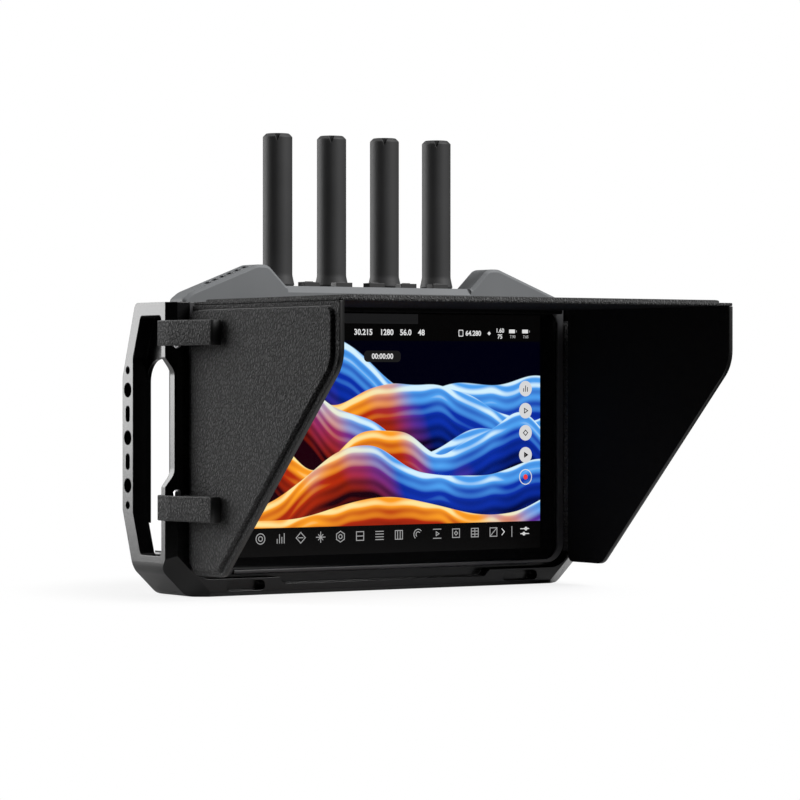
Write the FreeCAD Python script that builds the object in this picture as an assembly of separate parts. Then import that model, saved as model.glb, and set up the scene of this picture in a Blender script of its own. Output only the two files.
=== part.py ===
import FreeCAD, Part
import math
import os
from FreeCAD import Vector

os.makedirs("parts", exist_ok=True)

# Seven inch recording monitor in a metal cage, with a folding leather hood and four rod antennas.
# Millimetres. +X is right as the viewer sees the screen, +Y runs away from the viewer, +Z is up.
# The origin is the mouth of the tripod thread, in the underside of the cage.

# Cage
cage_h = 112.0
handle_w = 9.9
corner_run = 10.9
corner_rise = 10.5
corner_round = 6.0
front_bevel = 3.4
corner_bevel = 6.2
rail_bevel = 1.5
thread_setback = 12.0
foot_depth = 28.5
side_wall = 6.3
column_depth = 6.3
recess_margin = 1.5
recess_depth = 5.0

# Side handles: each depth is counted from the front face of the cage
grip_depth = 36.3
grip_strip = 8.1
shoulder_depth = 26.4
heel_depth = 28.5
grip_top_drop = 28.4
grip_bottom_z = 32.5
heel_z = 11.0
slot_bend_drop = 21.0
slot_bend_z = 31.5
slot_top_drop = 5.0
slot_bottom_z = 15.6
slot_top_depth = 22.2
slot_toe_depth = 22.4
slot_round = 3.0
scoop_side = 2.6
scoop_edge_depth = 4.3
scoop_top_drop = 21.0
scoop_bottom_z = 42.0
scoop_slope = 5.0
scoop_round = 8.0
strip_pad = 1.7
strip_pad_z = 27.5
strip_pad_round = 9.0
accessory_pitch = 18.4
accessory_mid_z = 60.2
thread_r = 2.8
locating_r = 1.5
locating_offset = 26.0
relief_slot_h = 6.2
relief_slot_w = 3.1
gusset_depth = 10.0
gusset_h = 21.5

# Bottom rail
lip_h = 4.1
boss_h = 7.0
boss_reach = 14.5
boss_ramp = 3.0
strap_slot_inset = 23.5
strap_slot_w = 16.9
strap_slot_h = 3.9
strap_slot_z = 3.9
strap_slot_depth = 4.2
tripod_r = 2.6
tripod_depth = 7.0

# Monitor body and display stack
body_w = 176.0
body_bottom = 8.5
body_round = 8.0
body_depth = 28.0
body_side_depth = 18.0
body_back_slant = 12.0
upper_depth = 34.0
upper_drop = 26.0
shell_wall = 2.0
bezel_front = 2.4
bezel_t = 2.0
glass_setback = 3.0
glass_t = 1.2
bezel_side = 3.0
bezel_low = 1.5
bezel_top = 1.2
bezel_bar_r = 1.2
bezel_bar_rise = 0.7
bezel_bar_inset = 19.0
glass_round = 6.5
panel_side = 7.5
panel_low = 2.2
panel_top = 0.8
panel_t = 3.0
plate_t = 1.5
fit = 0.3
slide_fit = 0.2
screw_fit = 0.1
shaft_fit = 0.05

# Crown
crown_over = 1.8
crown_setback = 3.85
crown_depth = 10.6
ledge_h = 7.0
horn_h = 15.0
horn_foot_inset = 46.2
horn_peak_inset = 38.0
horn_peak_w = 5.35
horn_end_inset = 3.6
horn_end_h = 3.95
horn_tip_h = 1.2
horn_tip_round = 2.2
horn_end_round = 10.0
horn_peak_round = 5.0
horn_foot_round = 1.0
horn_bevel = 1.1
ledge_bevel = 2.5
ledge_ramp = 0.6
antenna_shelf_end = 10.35
antenna_shelf_depth = 15.9
dimple_count = 6
dimple_pitch = 3.52
dimple_w = 2.8
dimple_l = 5.0
dimple_depth = 0.7
dimple_shift = 3.85

# Row of buttons on the crown
button_count = 5
button_row_share = 0.6973
button_setback = 9.0
button_w = 7.4
button_d = 4.5
button_proud = 1.7
button_travel = 0.8
button_flange = 0.8
button_flange_t = 1.4
button_mark = 0.3
button_bar_w = 3.5
button_roof = 2.5
button_board_t = 1.2
button_board_margin = 1.0
switch_w = 4.0
switch_d = 3.0
pocket_end = 7.6
pocket_front = 5.7
pocket_d = 10.0

# Antennas
antenna_count = 4
antenna_inset = 5.95
antenna_setback = 20.5
antenna_r = 5.8
antenna_top = 179.0
antenna_flare_r = 6.7
antenna_flare_h = 4.3
antenna_crown_bevel = 1.3
antenna_notch_w = 2.7
antenna_notch_h = 3.0
antenna_notches = 3
antenna_turn_deg = 33.0
connector_r = 3.2
connector_proud = 5.0
connector_flange_r = 4.5
connector_flange_t = 1.8

# Hood
hood_reach = 102.8
hood_over = 1.3
hood_rise = 1.0
hood_top_t = 2.3
hood_flange_t = 1.2
hood_flange_w = 4.7
hood_gap = 1.8
flap_t = 2.05
flap_bottom = 8.8
flap_front_h = 22.3
flap_foot = 22.3
flap_foot_round = 6.0
flap_front_round = 14.0
flap_edge_round = 2.0
flap_raise = 1.4
panel_low_in = 2.1
panel_slant_in = 2.8
panel_front_in = 3.7
panel_top_in = 2.0
panel_back_in = 0.7
panel_fold_in = 2.4
panel_round = 3.5
panel_front_round = 10.0
hood_strip_t = 3.8
hood_strip_h = 2.8

# Straps that tie the hood to the cage columns
strap_t = 1.2
strap_w = 9.6
strap_low_z = 34.15
strap_top_drop = 11.75
strap_reach = 26.5
strap_end_t = 4.2
strap_round = 1.1
strap_slack = 0.3
strap_lift = 0.55
strap_pin_r = 1.4
strap_pin_inset = 3.1
strap_pin_ahead = 3.0
strap_pin_proud = 2.3
strap_pin_tail = 1.0
strap_pin_sunk = 1.0
strap_window_w = 4.7
strap_window_margin = 0.05

# Boards, cooling and power
standoff_r = 2.6
standoff_floor = 0.3
board_inset = 30.0
board_top_drop = 32.0
board_bottom = 24.0
board_t = 1.6
board_edge = 6.0
sink_w = 44.0
sink_h = 34.0
sink_base = 1.5
sink_gap = 0.4
sink_fin_h = 2.5
sink_fins = 9
sink_fin_t = 1.2
fan_size = 30.0
fan_depth = 6.0
fan_bore_r = 13.4
fan_hub_r = 5.6
fan_axle_r = 1.0
fan_spokes = 3
fan_spoke_w = 2.0
fan_spoke_t = 1.0
fan_blades = 7
fan_blade_chord = 5.0
fan_blade_t = 0.8
fan_blade_deg = 38.0
vent_count = 7
vent_h = 1.8
vent_pitch = 3.8
rf_board_end = 14.35
rf_board_d = 14.0
battery_edge = 11.0
battery_w = 38.0
battery_top_drop = 32.0
battery_bottom = 12.0
battery_t = 5.0
battery_channel_w = 30.0
battery_channel_d = 1.6
catch_w = 11.4
catch_h = 5.4
catch_l = 4.5
catch_proud = 2.2
catch_travel = 1.2
catch_rise = 7.0
contact_r = 0.9
contact_l = 1.4
contact_pitch = 8.0
contact_drop = 10.0
port_cover_w = 24.0
port_cover_h = 9.0
port_cover_t = 1.6
port_cover_bottom = 13.0
port_pull_w = 7.0
port_pull_h = 3.0
port_pull_d = 1.4
post_r = 3.0
post_inset = 18.0
post_low_z = 18.0
post_top_drop = 9.0

# Screws
screw_r = 1.2
screw_head_r = 2.3
screw_head_h = 1.5
screw_l = 5.0
crown_screw_inset = 23.8
crown_screw_depth = 11.2
rail_screw_inset = 43.0
side_screw_depth = 13.0
side_screw_low_drop = 14.0
side_screw_high_drop = 6.0

cut_over = 5.0

# Values that follow from the ones above
front_y = -thread_setback
half_body = body_w / 2
half_hood = half_body + hood_over
half_crown = half_body + crown_over
split_x = half_body + fit
half_cage = split_x + handle_w
plate_inner_x = half_cage - side_wall
strip_inner_x = plate_inner_x - strip_pad
grip_top_z = cage_h - grip_top_drop
slot_bend_top_z = cage_h - slot_bend_drop
gusset_z = cage_h - gusset_h
slot_top_z = cage_h - slot_top_drop
scoop_top_z = cage_h - scoop_top_drop
strap_slot_x = half_body - strap_slot_inset
boss_inner_x = strap_slot_x - boss_reach
upper_z = cage_h - upper_drop
glass_w = body_w - bezel_side * 2
glass_bottom = body_bottom + bezel_low
glass_top = cage_h - bezel_top
panel_w = glass_w - panel_side * 2
panel_bottom = glass_bottom + panel_low
horn_foot_x = half_crown - horn_foot_inset
horn_peak_x = half_crown - horn_peak_inset
horn_end_x = half_crown - horn_end_inset
antenna_row_x = horn_foot_x - antenna_inset
antenna_pitch = antenna_row_x * 2 / (antenna_count - 1)
antenna_shelf_x = antenna_row_x + antenna_shelf_end
button_row_x = horn_foot_x * button_row_share
button_pitch = button_row_x * 2 / (button_count - 1)
board_w = body_w - board_inset * 2
board_h = cage_h - board_top_drop - board_bottom
standoff_x = board_w / 2 - board_edge
battery_x = half_body - body_back_slant - battery_edge - battery_w / 2
battery_top = cage_h - battery_top_drop
post_x = half_body - post_inset
crown_screw_x = half_crown - crown_screw_inset
rail_screw_x = half_body - rail_screw_inset
side_screw_heights = [cage_h - side_screw_low_drop, cage_h - side_screw_high_drop]
slot_back = grip_depth - grip_strip
bezel_back = bezel_front + bezel_t
glass_back = glass_setback + glass_t
panel_back = glass_back + panel_t
plate_back = panel_back + plate_t
shell_inner_back = body_depth - shell_wall
sink_back = shell_inner_back - fan_depth - sink_gap
board_back = sink_back - sink_fin_h - sink_base
standoff_h = board_back - board_t - plate_back
ledge_z = cage_h + ledge_h
connector_top = ledge_z + connector_proud
hood_back_y = front_y - hood_gap
hood_front_y = hood_back_y - hood_reach
hood_top_z = cage_h + hood_rise
hood_under_z = hood_top_z - hood_top_t
flap_top = hood_under_z - fit
flap_inner_x = half_hood - flap_t
flap_face_x = half_hood + flap_raise
column_inner_x = split_x + strap_window_w


def at_xz(y):
    return lambda a, b: Vector(a, y, b)


def at_yz(x):
    return lambda a, b: Vector(x, a, b)


def at_xy(z):
    return lambda a, b: Vector(a, b, z)


def outline(points, radii, place):
    """Closed face through flat points, with each corner rounded to its own radius."""
    count = len(points)
    corners = []
    for i in range(count):
        here = Vector(points[i][0], points[i][1], 0)
        back = Vector(points[i - 1][0], points[i - 1][1], 0) - here
        ahead = Vector(points[(i + 1) % count][0], points[(i + 1) % count][1], 0) - here
        back.normalize()
        ahead.normalize()
        if radii[i] == 0:
            corners.append((here, None, here))
            continue
        half = back.getAngle(ahead) / 2
        reach = radii[i] / math.tan(half)
        inward = (back + ahead).normalize()
        centre = here + inward * (radii[i] / math.sin(half))
        corners.append((here + back * reach, centre - inward * radii[i], here + ahead * reach))
    edges = []
    for i in range(count):
        start, middle, end = corners[i]
        if middle is not None:
            arc = Part.Arc(place(start.x, start.y), place(middle.x, middle.y), place(end.x, end.y))
            edges.append(arc.toShape())
        following = corners[(i + 1) % count][0]
        run = Part.LineSegment(place(end.x, end.y), place(following.x, following.y))
        edges.append(run.toShape())
    return Part.Face(Part.Wire(edges))


def inset_points(points, insets):
    """Corners of a flat outline after each of its sides has moved inwards by its own amount."""
    count = len(points)
    area = 0
    for i in range(count):
        area += points[i - 1][0] * points[i][1] - points[i][0] * points[i - 1][1]
    turn = math.copysign(1, area)
    normals = []
    for i in range(count):
        ahead = points[(i + 1) % count]
        along = Vector(ahead[0] - points[i][0], ahead[1] - points[i][1], 0).normalize()
        normals.append((-along.y * turn, along.x * turn))
    moved = []
    for i in range(count):
        ax, ay = normals[i - 1]
        bx, by = normals[i]
        cross = ax * by - ay * bx
        shift_a = (insets[i - 1] * by - insets[i] * ay) / cross
        shift_b = (ax * insets[i] - bx * insets[i - 1]) / cross
        moved.append((points[i][0] + shift_a, points[i][1] + shift_b))
    return moved


def spread(points, radius):
    if isinstance(radius, (list, tuple)):
        return list(radius)
    return [radius] * len(points)


def prism_xz(points, y0, y1, radius=0):
    return outline(points, spread(points, radius), at_xz(y0)).extrude(Vector(0, y1 - y0, 0))


def prism_yz(points, x0, x1, radius=0):
    return outline(points, spread(points, radius), at_yz(x0)).extrude(Vector(x1 - x0, 0, 0))


def prism_xy(points, z0, z1, radius=0):
    return outline(points, spread(points, radius), at_xy(z0)).extrude(Vector(0, 0, z1 - z0))


def box(x0, x1, y0, y1, z0, z1):
    return Part.makeBox(x1 - x0, y1 - y0, z1 - z0, Vector(x0, y0, z0))


def rod_x(radius, x0, x1, y, z):
    return Part.makeCylinder(radius, x1 - x0, Vector(x0, y, z), Vector(1, 0, 0))


def rod_y(radius, y0, y1, x, z):
    return Part.makeCylinder(radius, y1 - y0, Vector(x, y0, z), Vector(0, 1, 0))


def rod_z(radius, z0, z1, x, y):
    return Part.makeCylinder(radius, z1 - z0, Vector(x, y, z0), Vector(0, 0, 1))


def rect(a0, a1, b0, b1):
    return [(a0, b0), (a1, b0), (a1, b1), (a0, b1)]


def mirrored(shape):
    return shape.mirror(Vector(0, 0, 0), Vector(1, 0, 0))


def row(count, pitch):
    return [(i - (count - 1) / 2) * pitch for i in range(count)]


def save(name, shape):
    shape.exportStep("parts/" + name + ".step")
    print(name, len(shape.Solids), round(shape.Volume, 1), shape.isValid())


def body_outline(grow):
    """Front outline of the monitor body, grown outwards, with its two lower corners rounded."""
    points = rect(-half_body - grow, half_body + grow, body_bottom - grow, cage_h + grow)
    radius = body_round + grow
    return points, [radius, radius, 0, 0]


def bevel_wedge(start, end, size):
    """Wedge that takes off the front edge along one side of the cage's outline, at 45 degrees."""
    here = Vector(start[0], front_y, start[1])
    there = Vector(end[0], front_y, end[1])
    along = (there - here).normalize()
    inward = Vector(-along.z, 0, along.x)
    behind = Vector(0, 1, 0)
    corner = here - (along + inward + behind) * cut_over
    reach = size + cut_over * 2
    triangle = Part.makePolygon([corner, corner + inward * reach, corner + behind * reach, corner])
    return Part.Face(triangle).extrude(there - here + along * (cut_over * 2))


def cage_block():
    """The whole cage as one bevelled block, from which its pieces are cut."""
    half_flat = half_cage - corner_run
    points = [
        (-half_flat, 0),
        (half_flat, 0),
        (half_cage, corner_rise),
        (half_cage, cage_h),
        (-half_cage, cage_h),
        (-half_cage, corner_rise),
    ]
    rounds = [corner_round, corner_round, corner_round, 0, 0, corner_round]
    bevels = [rail_bevel, corner_bevel, front_bevel, 0, front_bevel, corner_bevel]
    block = prism_xz(points, front_y, front_y + grip_depth, rounds)
    wedges = []
    for i, bevel in enumerate(bevels):
        if bevel > 0:
            wedges.append(bevel_wedge(points[i], points[(i + 1) % len(points)], bevel))
    return block.cut(wedges)


def cage_opening():
    """The hole that the monitor body fills, with a wider step at its front."""
    points, radii = body_outline(0)
    points = [(math.copysign(split_x, a), b) for a, b in points]
    points = points[:2] + [(a, b + cut_over) for a, b in points[2:]]
    radii = [body_round + fit, body_round + fit, 0, 0]
    through = prism_xz(points, front_y - cut_over, front_y + grip_depth + cut_over, radii)
    wide, wide_radii = body_outline(recess_margin + fit)
    wide = wide[:2] + [(a, b + cut_over) for a, b in wide[2:]]
    step = prism_xz(wide, front_y - cut_over, front_y + recess_depth, wide_radii)
    return through.fuse(step)


def accessory_holes():
    """Threads, locating holes and relief slots down the rear strip of a handle."""
    y = front_y + grip_depth - grip_strip / 2
    x0 = -half_cage - cut_over
    x1 = -plate_inner_x + cut_over
    cuts = [rod_x(thread_r, x0, x1, y, accessory_mid_z + step) for step in row(3, accessory_pitch)]
    for side in (-1, 1):
        cuts.append(rod_x(locating_r, x0, x1, y, accessory_mid_z + side * locating_offset))
        mid = accessory_mid_z + side * accessory_pitch / 2
        half_w = relief_slot_w / 2
        half_h = relief_slot_h / 2
        ends = rect(y - half_w, y + half_w, mid - half_h, mid + half_h)
        cuts.append(prism_yz(ends, x0, x1, half_w - screw_fit))
    return cuts


def side_plate():
    """Left handle: a deep side wall with its hand slot, the front column and the corner blocks."""
    back_line = [
        (front_y, 0),
        (front_y + foot_depth, 0),
        (front_y + heel_depth, heel_z),
        (front_y + grip_depth, grip_bottom_z),
        (front_y + grip_depth, grip_top_z),
        (front_y + shoulder_depth, cage_h),
        (front_y, cage_h),
    ]
    round_back = [0, 0, slot_round, slot_round, slot_round, slot_round, 0]
    wall = prism_yz(back_line, -half_cage, -plate_inner_x, round_back)
    column = box(-plate_inner_x, -split_x, front_y, front_y + column_depth, 0, cage_h)
    foot = box(-plate_inner_x, -split_x, front_y, front_y + foot_depth, 0, slot_bottom_z)
    gusset_y = front_y + gusset_depth
    gusset = box(-plate_inner_x, -split_x, gusset_y, front_y + shoulder_depth, gusset_z, cage_h)
    strip = box(-half_cage, -split_x, gusset_y, front_y + grip_depth, strip_pad_z, cage_h)
    window = rect(gusset_y - cut_over, front_y + slot_back, strip_pad_z - cut_over, gusset_z)
    opening = prism_yz(window, -half_cage, -split_x, [0, 0, strip_pad_round, 0])
    pad = prism_yz(back_line, -plate_inner_x, -strip_inner_x, round_back).common(strip).cut(opening)
    plate = wall.fuse([column, foot, pad, gusset]).common(cage_block())

    slot_front_y = front_y + column_depth
    slot_points = [
        (slot_front_y, slot_bottom_z),
        (front_y + slot_toe_depth, slot_bottom_z),
        (front_y + slot_back, slot_bend_z),
        (front_y + slot_back, slot_bend_top_z),
        (front_y + slot_top_depth, slot_top_z),
        (slot_front_y, slot_top_z),
    ]
    slot = prism_yz(slot_points, -half_cage - cut_over, -plate_inner_x, slot_round - strap_t)
    scoop_low = scoop_bottom_z + scoop_slope
    scoop_high = scoop_top_z - scoop_slope
    scoop_points = [
        (slot_front_y + cut_over, scoop_bottom_z),
        (slot_front_y + cut_over, scoop_top_z),
        (slot_front_y, scoop_top_z),
        (front_y + scoop_edge_depth, scoop_high),
        (front_y + scoop_edge_depth, scoop_low),
        (slot_front_y, scoop_bottom_z),
    ]
    scoop_rounds = [0, 0, 0, scoop_round, scoop_round, 0]
    scoop = prism_yz(scoop_points, -half_cage - cut_over, -column_inner_x, scoop_rounds)
    dish_points = [
        (-half_cage - cut_over, scoop_bottom_z),
        (-half_cage, scoop_bottom_z),
        (-half_cage + scoop_side, scoop_low),
        (-half_cage + scoop_side, scoop_high),
        (-half_cage, scoop_top_z),
        (-half_cage - cut_over, scoop_top_z),
    ]
    dish_rounds = [0, 0, scoop_round, scoop_round, 0, 0]
    dish = prism_xz(dish_points, front_y - cut_over, slot_front_y + fit, dish_rounds)
    cuts = [slot, scoop, dish, cage_opening()] + accessory_holes()
    for z in strap_heights():
        half = strap_w / 2 + strap_window_margin
        ahead_y = front_y - cut_over
        cuts.append(box(-column_inner_x, -split_x + cut_over, ahead_y, gusset_y, z - half, z + half))
    for z in side_screw_heights:
        y = front_y + side_screw_depth
        cuts.append(rod_x(screw_r + screw_fit, -split_x - screw_l, -split_x + cut_over, y, z))
    return plate.cut(cuts)


def bottom_rail():
    """Bar under the monitor, with a low front lip that rises round two strap slots."""
    rail = box(-split_x, split_x, front_y, front_y + foot_depth, 0, body_bottom + body_round + fit)
    rail = rail.common(cage_block()).cut(cage_opening())
    boss_x = boss_inner_x - boss_ramp
    lip_cut = [
        (-boss_x, lip_h),
        (boss_x, lip_h),
        (boss_inner_x, boss_h),
        (boss_inner_x, body_bottom + cut_over),
        (-boss_inner_x, body_bottom + cut_over),
        (-boss_inner_x, boss_h),
    ]
    cuts = [prism_xz(lip_cut, front_y - cut_over, front_y + recess_depth)]
    for side in (-1, 1):
        mid = side * strap_slot_x
        half_w = strap_slot_w / 2
        half_h = strap_slot_h / 2
        ends = rect(mid - half_w, mid + half_w, strap_slot_z - half_h, strap_slot_z + half_h)
        mouth = prism_xz(ends, front_y - cut_over, front_y + strap_slot_depth, half_h - screw_fit)
        cuts.append(mouth)
    cuts.append(rod_z(tripod_r, -cut_over, tripod_depth, 0, 0))
    for x in (-rail_screw_x, rail_screw_x):
        cuts.append(rod_z(screw_r + screw_fit, -cut_over, body_bottom + cut_over, x, 0))
        cuts.append(rod_z(screw_head_r + screw_fit, -cut_over, body_bottom - screw_l, x, 0))
    return rail.cut(cuts)


def rail_screws():
    screws = []
    for x in (-rail_screw_x, rail_screw_x):
        seat = body_bottom - screw_l
        head = rod_z(screw_head_r, seat - screw_head_h, seat, x, 0)
        shank = rod_z(screw_r, seat, body_bottom + shell_wall, x, 0)
        screws.append(head.fuse(shank).removeSplitter())
    return Part.makeCompound(screws)


def side_screws():
    screws = []
    for z in side_screw_heights:
        seat = half_body - shell_wall
        y = front_y + side_screw_depth
        head = rod_x(screw_head_r, seat - screw_head_h, seat, y, z)
        shank = rod_x(screw_r, seat, split_x + screw_l - fit, y, z)
        right = head.fuse(shank).removeSplitter()
        screws.extend([right, mirrored(right)])
    return Part.makeCompound(screws)


def crown_screw_places():
    y = front_y + crown_screw_depth
    return [(-crown_screw_x, y), (crown_screw_x, y)]


def crown_screws():
    screws = []
    for x, y in crown_screw_places():
        seat = cage_h - shell_wall
        head = rod_z(screw_head_r, seat - screw_head_h, seat, x, y)
        shank = rod_z(screw_r, seat, cage_h + screw_l - fit, x, y)
        screws.append(head.fuse(shank).removeSplitter())
    return Part.makeCompound(screws)


def back_profile(inset):
    """Plan of the casing from above: straight sides, then slanted shoulders to a narrower back."""
    rise = body_depth - body_side_depth
    slant = math.hypot(body_back_slant, rise)
    side_x = half_body - inset
    knee = front_y + body_side_depth + inset * (rise - slant) / body_back_slant
    back_x = half_body - body_back_slant - inset * (slant - body_back_slant) / rise
    back = front_y + body_depth - inset
    start = front_y + bezel_back
    right = [(side_x, start), (side_x, knee), (back_x, back)]
    return right + [(-x, y) for x, y in reversed(right)]


def rear_shell():
    """Back casing of the monitor: an open tray, deeper along its top for the radio board."""
    points, radii = body_outline(0)
    y_front = front_y + bezel_back
    upper_x = half_body - body_back_slant
    side_y = front_y + body_side_depth
    shoulder_y = front_y + shoulder_depth
    shell = prism_xz(points, y_front, front_y + body_depth, radii)
    shell = shell.common(prism_xy(back_profile(0), 0, cage_h))
    upper = box(-upper_x, upper_x, side_y, front_y + upper_depth, upper_z, cage_h)
    shoulders = box(-half_body, half_body, side_y - shell_wall, shoulder_y, gusset_z, cage_h)
    inner, inner_radii = body_outline(-shell_wall)
    hollow = prism_xz(inner, y_front, front_y + body_depth, inner_radii)
    hollow = hollow.common(prism_xy(back_profile(shell_wall), 0, cage_h))
    inner_x = half_body - shell_wall
    inner_top = cage_h - shell_wall
    upper_back = front_y + upper_depth - shell_wall
    upper_inner_x = upper_x - shell_wall
    loft = box(-upper_inner_x, upper_inner_x, side_y - shell_wall, upper_back, upper_z + shell_wall, inner_top)
    shell = shell.fuse([upper, shoulders]).cut([hollow, loft])
    posts = []
    for x in (-post_x, post_x):
        posts.append(rod_y(post_r, front_y + plate_back, front_y + shell_inner_back, x, post_low_z))
        posts.append(rod_y(post_r, front_y + plate_back, upper_back, x, cage_h - post_top_drop))
    shell = shell.fuse(posts)
    cuts = []
    y0 = front_y + shell_inner_back - cut_over
    y1 = front_y + upper_depth + cut_over
    for step in row(vent_count, vent_pitch):
        reach = math.sqrt(fan_bore_r ** 2 - step ** 2)
        half = vent_h / 2
        mid = fan_mid_z()
        vent = rect(-reach, reach, mid + step - half, mid + step + half)
        cuts.append(prism_xz(vent, y0, y1, half - screw_fit))
    for x in row(antenna_count, antenna_pitch):
        y = front_y + antenna_setback
        cuts.append(rod_z(connector_r + slide_fit, inner_top - fit, cage_h + fit, x, y))
    for x, y in crown_screw_places():
        cuts.append(rod_z(screw_r + screw_fit, inner_top - fit, cage_h + fit, x, y))
    for z in side_screw_heights:
        y = front_y + side_screw_depth
        cuts.append(rod_x(screw_r + screw_fit, -half_body - fit, -inner_x + fit, y, z))
        cuts.append(rod_x(screw_r + screw_fit, inner_x - fit, half_body + fit, y, z))
    for x in (-rail_screw_x, rail_screw_x):
        cuts.append(rod_z(screw_r + screw_fit, body_bottom - fit, body_bottom + shell_wall + fit, x, 0))
    cuts.append(port_slab(slide_fit, cut_over))
    return shell.cut(cuts)


def fan_mid_z():
    return board_bottom + board_h / 2


def port_slab(grow, over):
    half = port_cover_w / 2 + grow
    low = port_cover_bottom - grow
    high = port_cover_bottom + port_cover_h + grow
    back = front_y + body_depth
    return prism_xz(rect(-half, half, low, high), back - port_cover_t + shaft_fit, back + over, port_cover_t)


def port_cover():
    """Soft plug that closes the cable sockets, with a pull tab."""
    back = front_y + body_depth
    slab = port_slab(0, 0)
    low = port_cover_bottom + (port_cover_h - port_pull_h) / 2
    high = low + port_pull_h
    tab = box(-port_pull_w / 2, port_pull_w / 2, back - port_pull_d / 2, back + port_pull_d, low, high)
    return slab.fuse(tab).removeSplitter()


def front_bezel():
    """Flat ring round the glass, with a half-round bar along its lower edge."""
    points, radii = body_outline(0)
    ring = prism_xz(points, front_y + bezel_front, front_y + bezel_back, radii)
    bar_x = half_body - bezel_bar_inset
    bar = rod_x(bezel_bar_r, -bar_x, bar_x, front_y + bezel_front, body_bottom + bezel_bar_rise)
    ring = ring.fuse(bar).cut(glass_slab(slide_fit, bezel_front - cut_over, bezel_back + cut_over))
    return ring.removeSplitter()


def glass_slab(grow, depth0, depth1):
    half = glass_w / 2 + grow
    points = rect(-half, half, glass_bottom - grow, glass_top + grow)
    return prism_xz(points, front_y + depth0, front_y + depth1, glass_round + grow)


def display_panel():
    half = panel_w / 2
    points = rect(-half, half, panel_bottom, glass_top - panel_top)
    return prism_xz(points, front_y + glass_back, front_y + panel_back, glass_round - shell_wall)


def backlight_plate():
    points, radii = body_outline(-shell_wall - fit)
    return prism_xz(points, front_y + panel_back, front_y + plate_back, radii)


def standoff_places():
    low = board_bottom + board_edge
    high = board_bottom + board_h - board_edge
    return [(x, z) for x in (-standoff_x, standoff_x) for z in (low, high)]


def board_standoffs():
    posts = []
    for x, z in standoff_places():
        y0 = front_y + plate_back
        y1 = y0 + standoff_h
        post = rod_y(standoff_r, y0, y1, x, z)
        posts.append(post.cut(rod_y(screw_r + screw_fit, y0 + standoff_floor, y1 + cut_over, x, z)))
    return Part.makeCompound(posts)


def main_board():
    y0 = front_y + plate_back + standoff_h
    board = box(-board_w / 2, board_w / 2, y0, y0 + board_t, board_bottom, board_bottom + board_h)
    holes = [rod_y(screw_r + screw_fit, y0 - cut_over, y0 + cut_over, x, z) for x, z in standoff_places()]
    return board.cut(holes)


def board_screws():
    screws = []
    for x, z in standoff_places():
        seat = front_y + board_back
        head = rod_y(screw_head_r, seat, seat + screw_head_h, x, z)
        shank = rod_y(screw_r, front_y + plate_back + standoff_floor + fit, seat, x, z)
        screws.append(head.fuse(shank).removeSplitter())
    return Part.makeCompound(screws)


def heat_sink():
    y0 = front_y + board_back
    y1 = y0 + sink_base
    low = fan_mid_z() - sink_h / 2
    sink = box(-sink_w / 2, sink_w / 2, y0, y1, low, low + sink_h)
    fins = []
    for x in row(sink_fins, (sink_w - sink_fin_t) / (sink_fins - 1)):
        fins.append(box(x - sink_fin_t / 2, x + sink_fin_t / 2, y1, y1 + sink_fin_h, low, low + sink_h))
    return sink.fuse(fins).removeSplitter()


def fan_housing():
    """Square fan frame that stands on the back casing, with a spoked axle."""
    y1 = front_y + shell_inner_back
    y0 = y1 - fan_depth
    half = fan_size / 2
    mid = fan_mid_z()
    frame = prism_xz(rect(-half, half, mid - half, mid + half), y0, y1, fan_axle_r + fan_spoke_t)
    frame = frame.cut(rod_y(fan_bore_r, y0 - cut_over, y1 + cut_over, 0, mid))
    spoke_y = y1 - fan_spoke_t
    pieces = [rod_y(fan_hub_r, spoke_y, y1, 0, mid)]
    for i in range(fan_spokes):
        reach = fan_bore_r + fan_spoke_t
        spoke = box(0, reach, spoke_y, y1, mid - fan_spoke_w / 2, mid + fan_spoke_w / 2)
        spoke.rotate(Vector(0, 0, mid), Vector(0, 1, 0), i * 360 / fan_spokes + 90)
        pieces.append(spoke)
    pieces.append(rod_y(fan_axle_r, y0 + fit, spoke_y + fan_spoke_t / 2, 0, mid))
    return frame.fuse(pieces).removeSplitter()


def fan_rotor():
    y1 = front_y + shell_inner_back - fan_spoke_t - fit
    y0 = front_y + shell_inner_back - fan_depth + fit
    mid = fan_mid_z()
    blades = []
    for i in range(fan_blades):
        depth_mid = (y0 + y1) / 2
        half_c = fan_blade_chord / 2
        half_t = fan_blade_t / 2
        root = fan_hub_r - fan_blade_t
        blade = box(root, fan_bore_r, depth_mid - half_c, depth_mid + half_c, mid - half_t, mid + half_t)
        blade.rotate(Vector(0, depth_mid, mid), Vector(1, 0, 0), fan_blade_deg)
        blade.rotate(Vector(0, 0, mid), Vector(0, 1, 0), i * 360 / fan_blades)
        blades.append(blade)
    swept = rod_y(fan_bore_r - fit, y0 + fit, y1 - fit, 0, mid)
    hub = rod_y(fan_hub_r, y0, y1, 0, mid)
    rotor = hub.fuse([blade.common(swept) for blade in blades])
    return rotor.cut(rod_y(fan_axle_r + shaft_fit, y0 - cut_over, y1 + cut_over, 0, mid))


def rf_board():
    top = cage_h - shell_wall - connector_flange_t
    mid = front_y + antenna_setback
    half = antenna_row_x + rf_board_end
    return box(-half, half, mid - rf_board_d / 2, mid + rf_board_d / 2, top - board_t, top)


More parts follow.
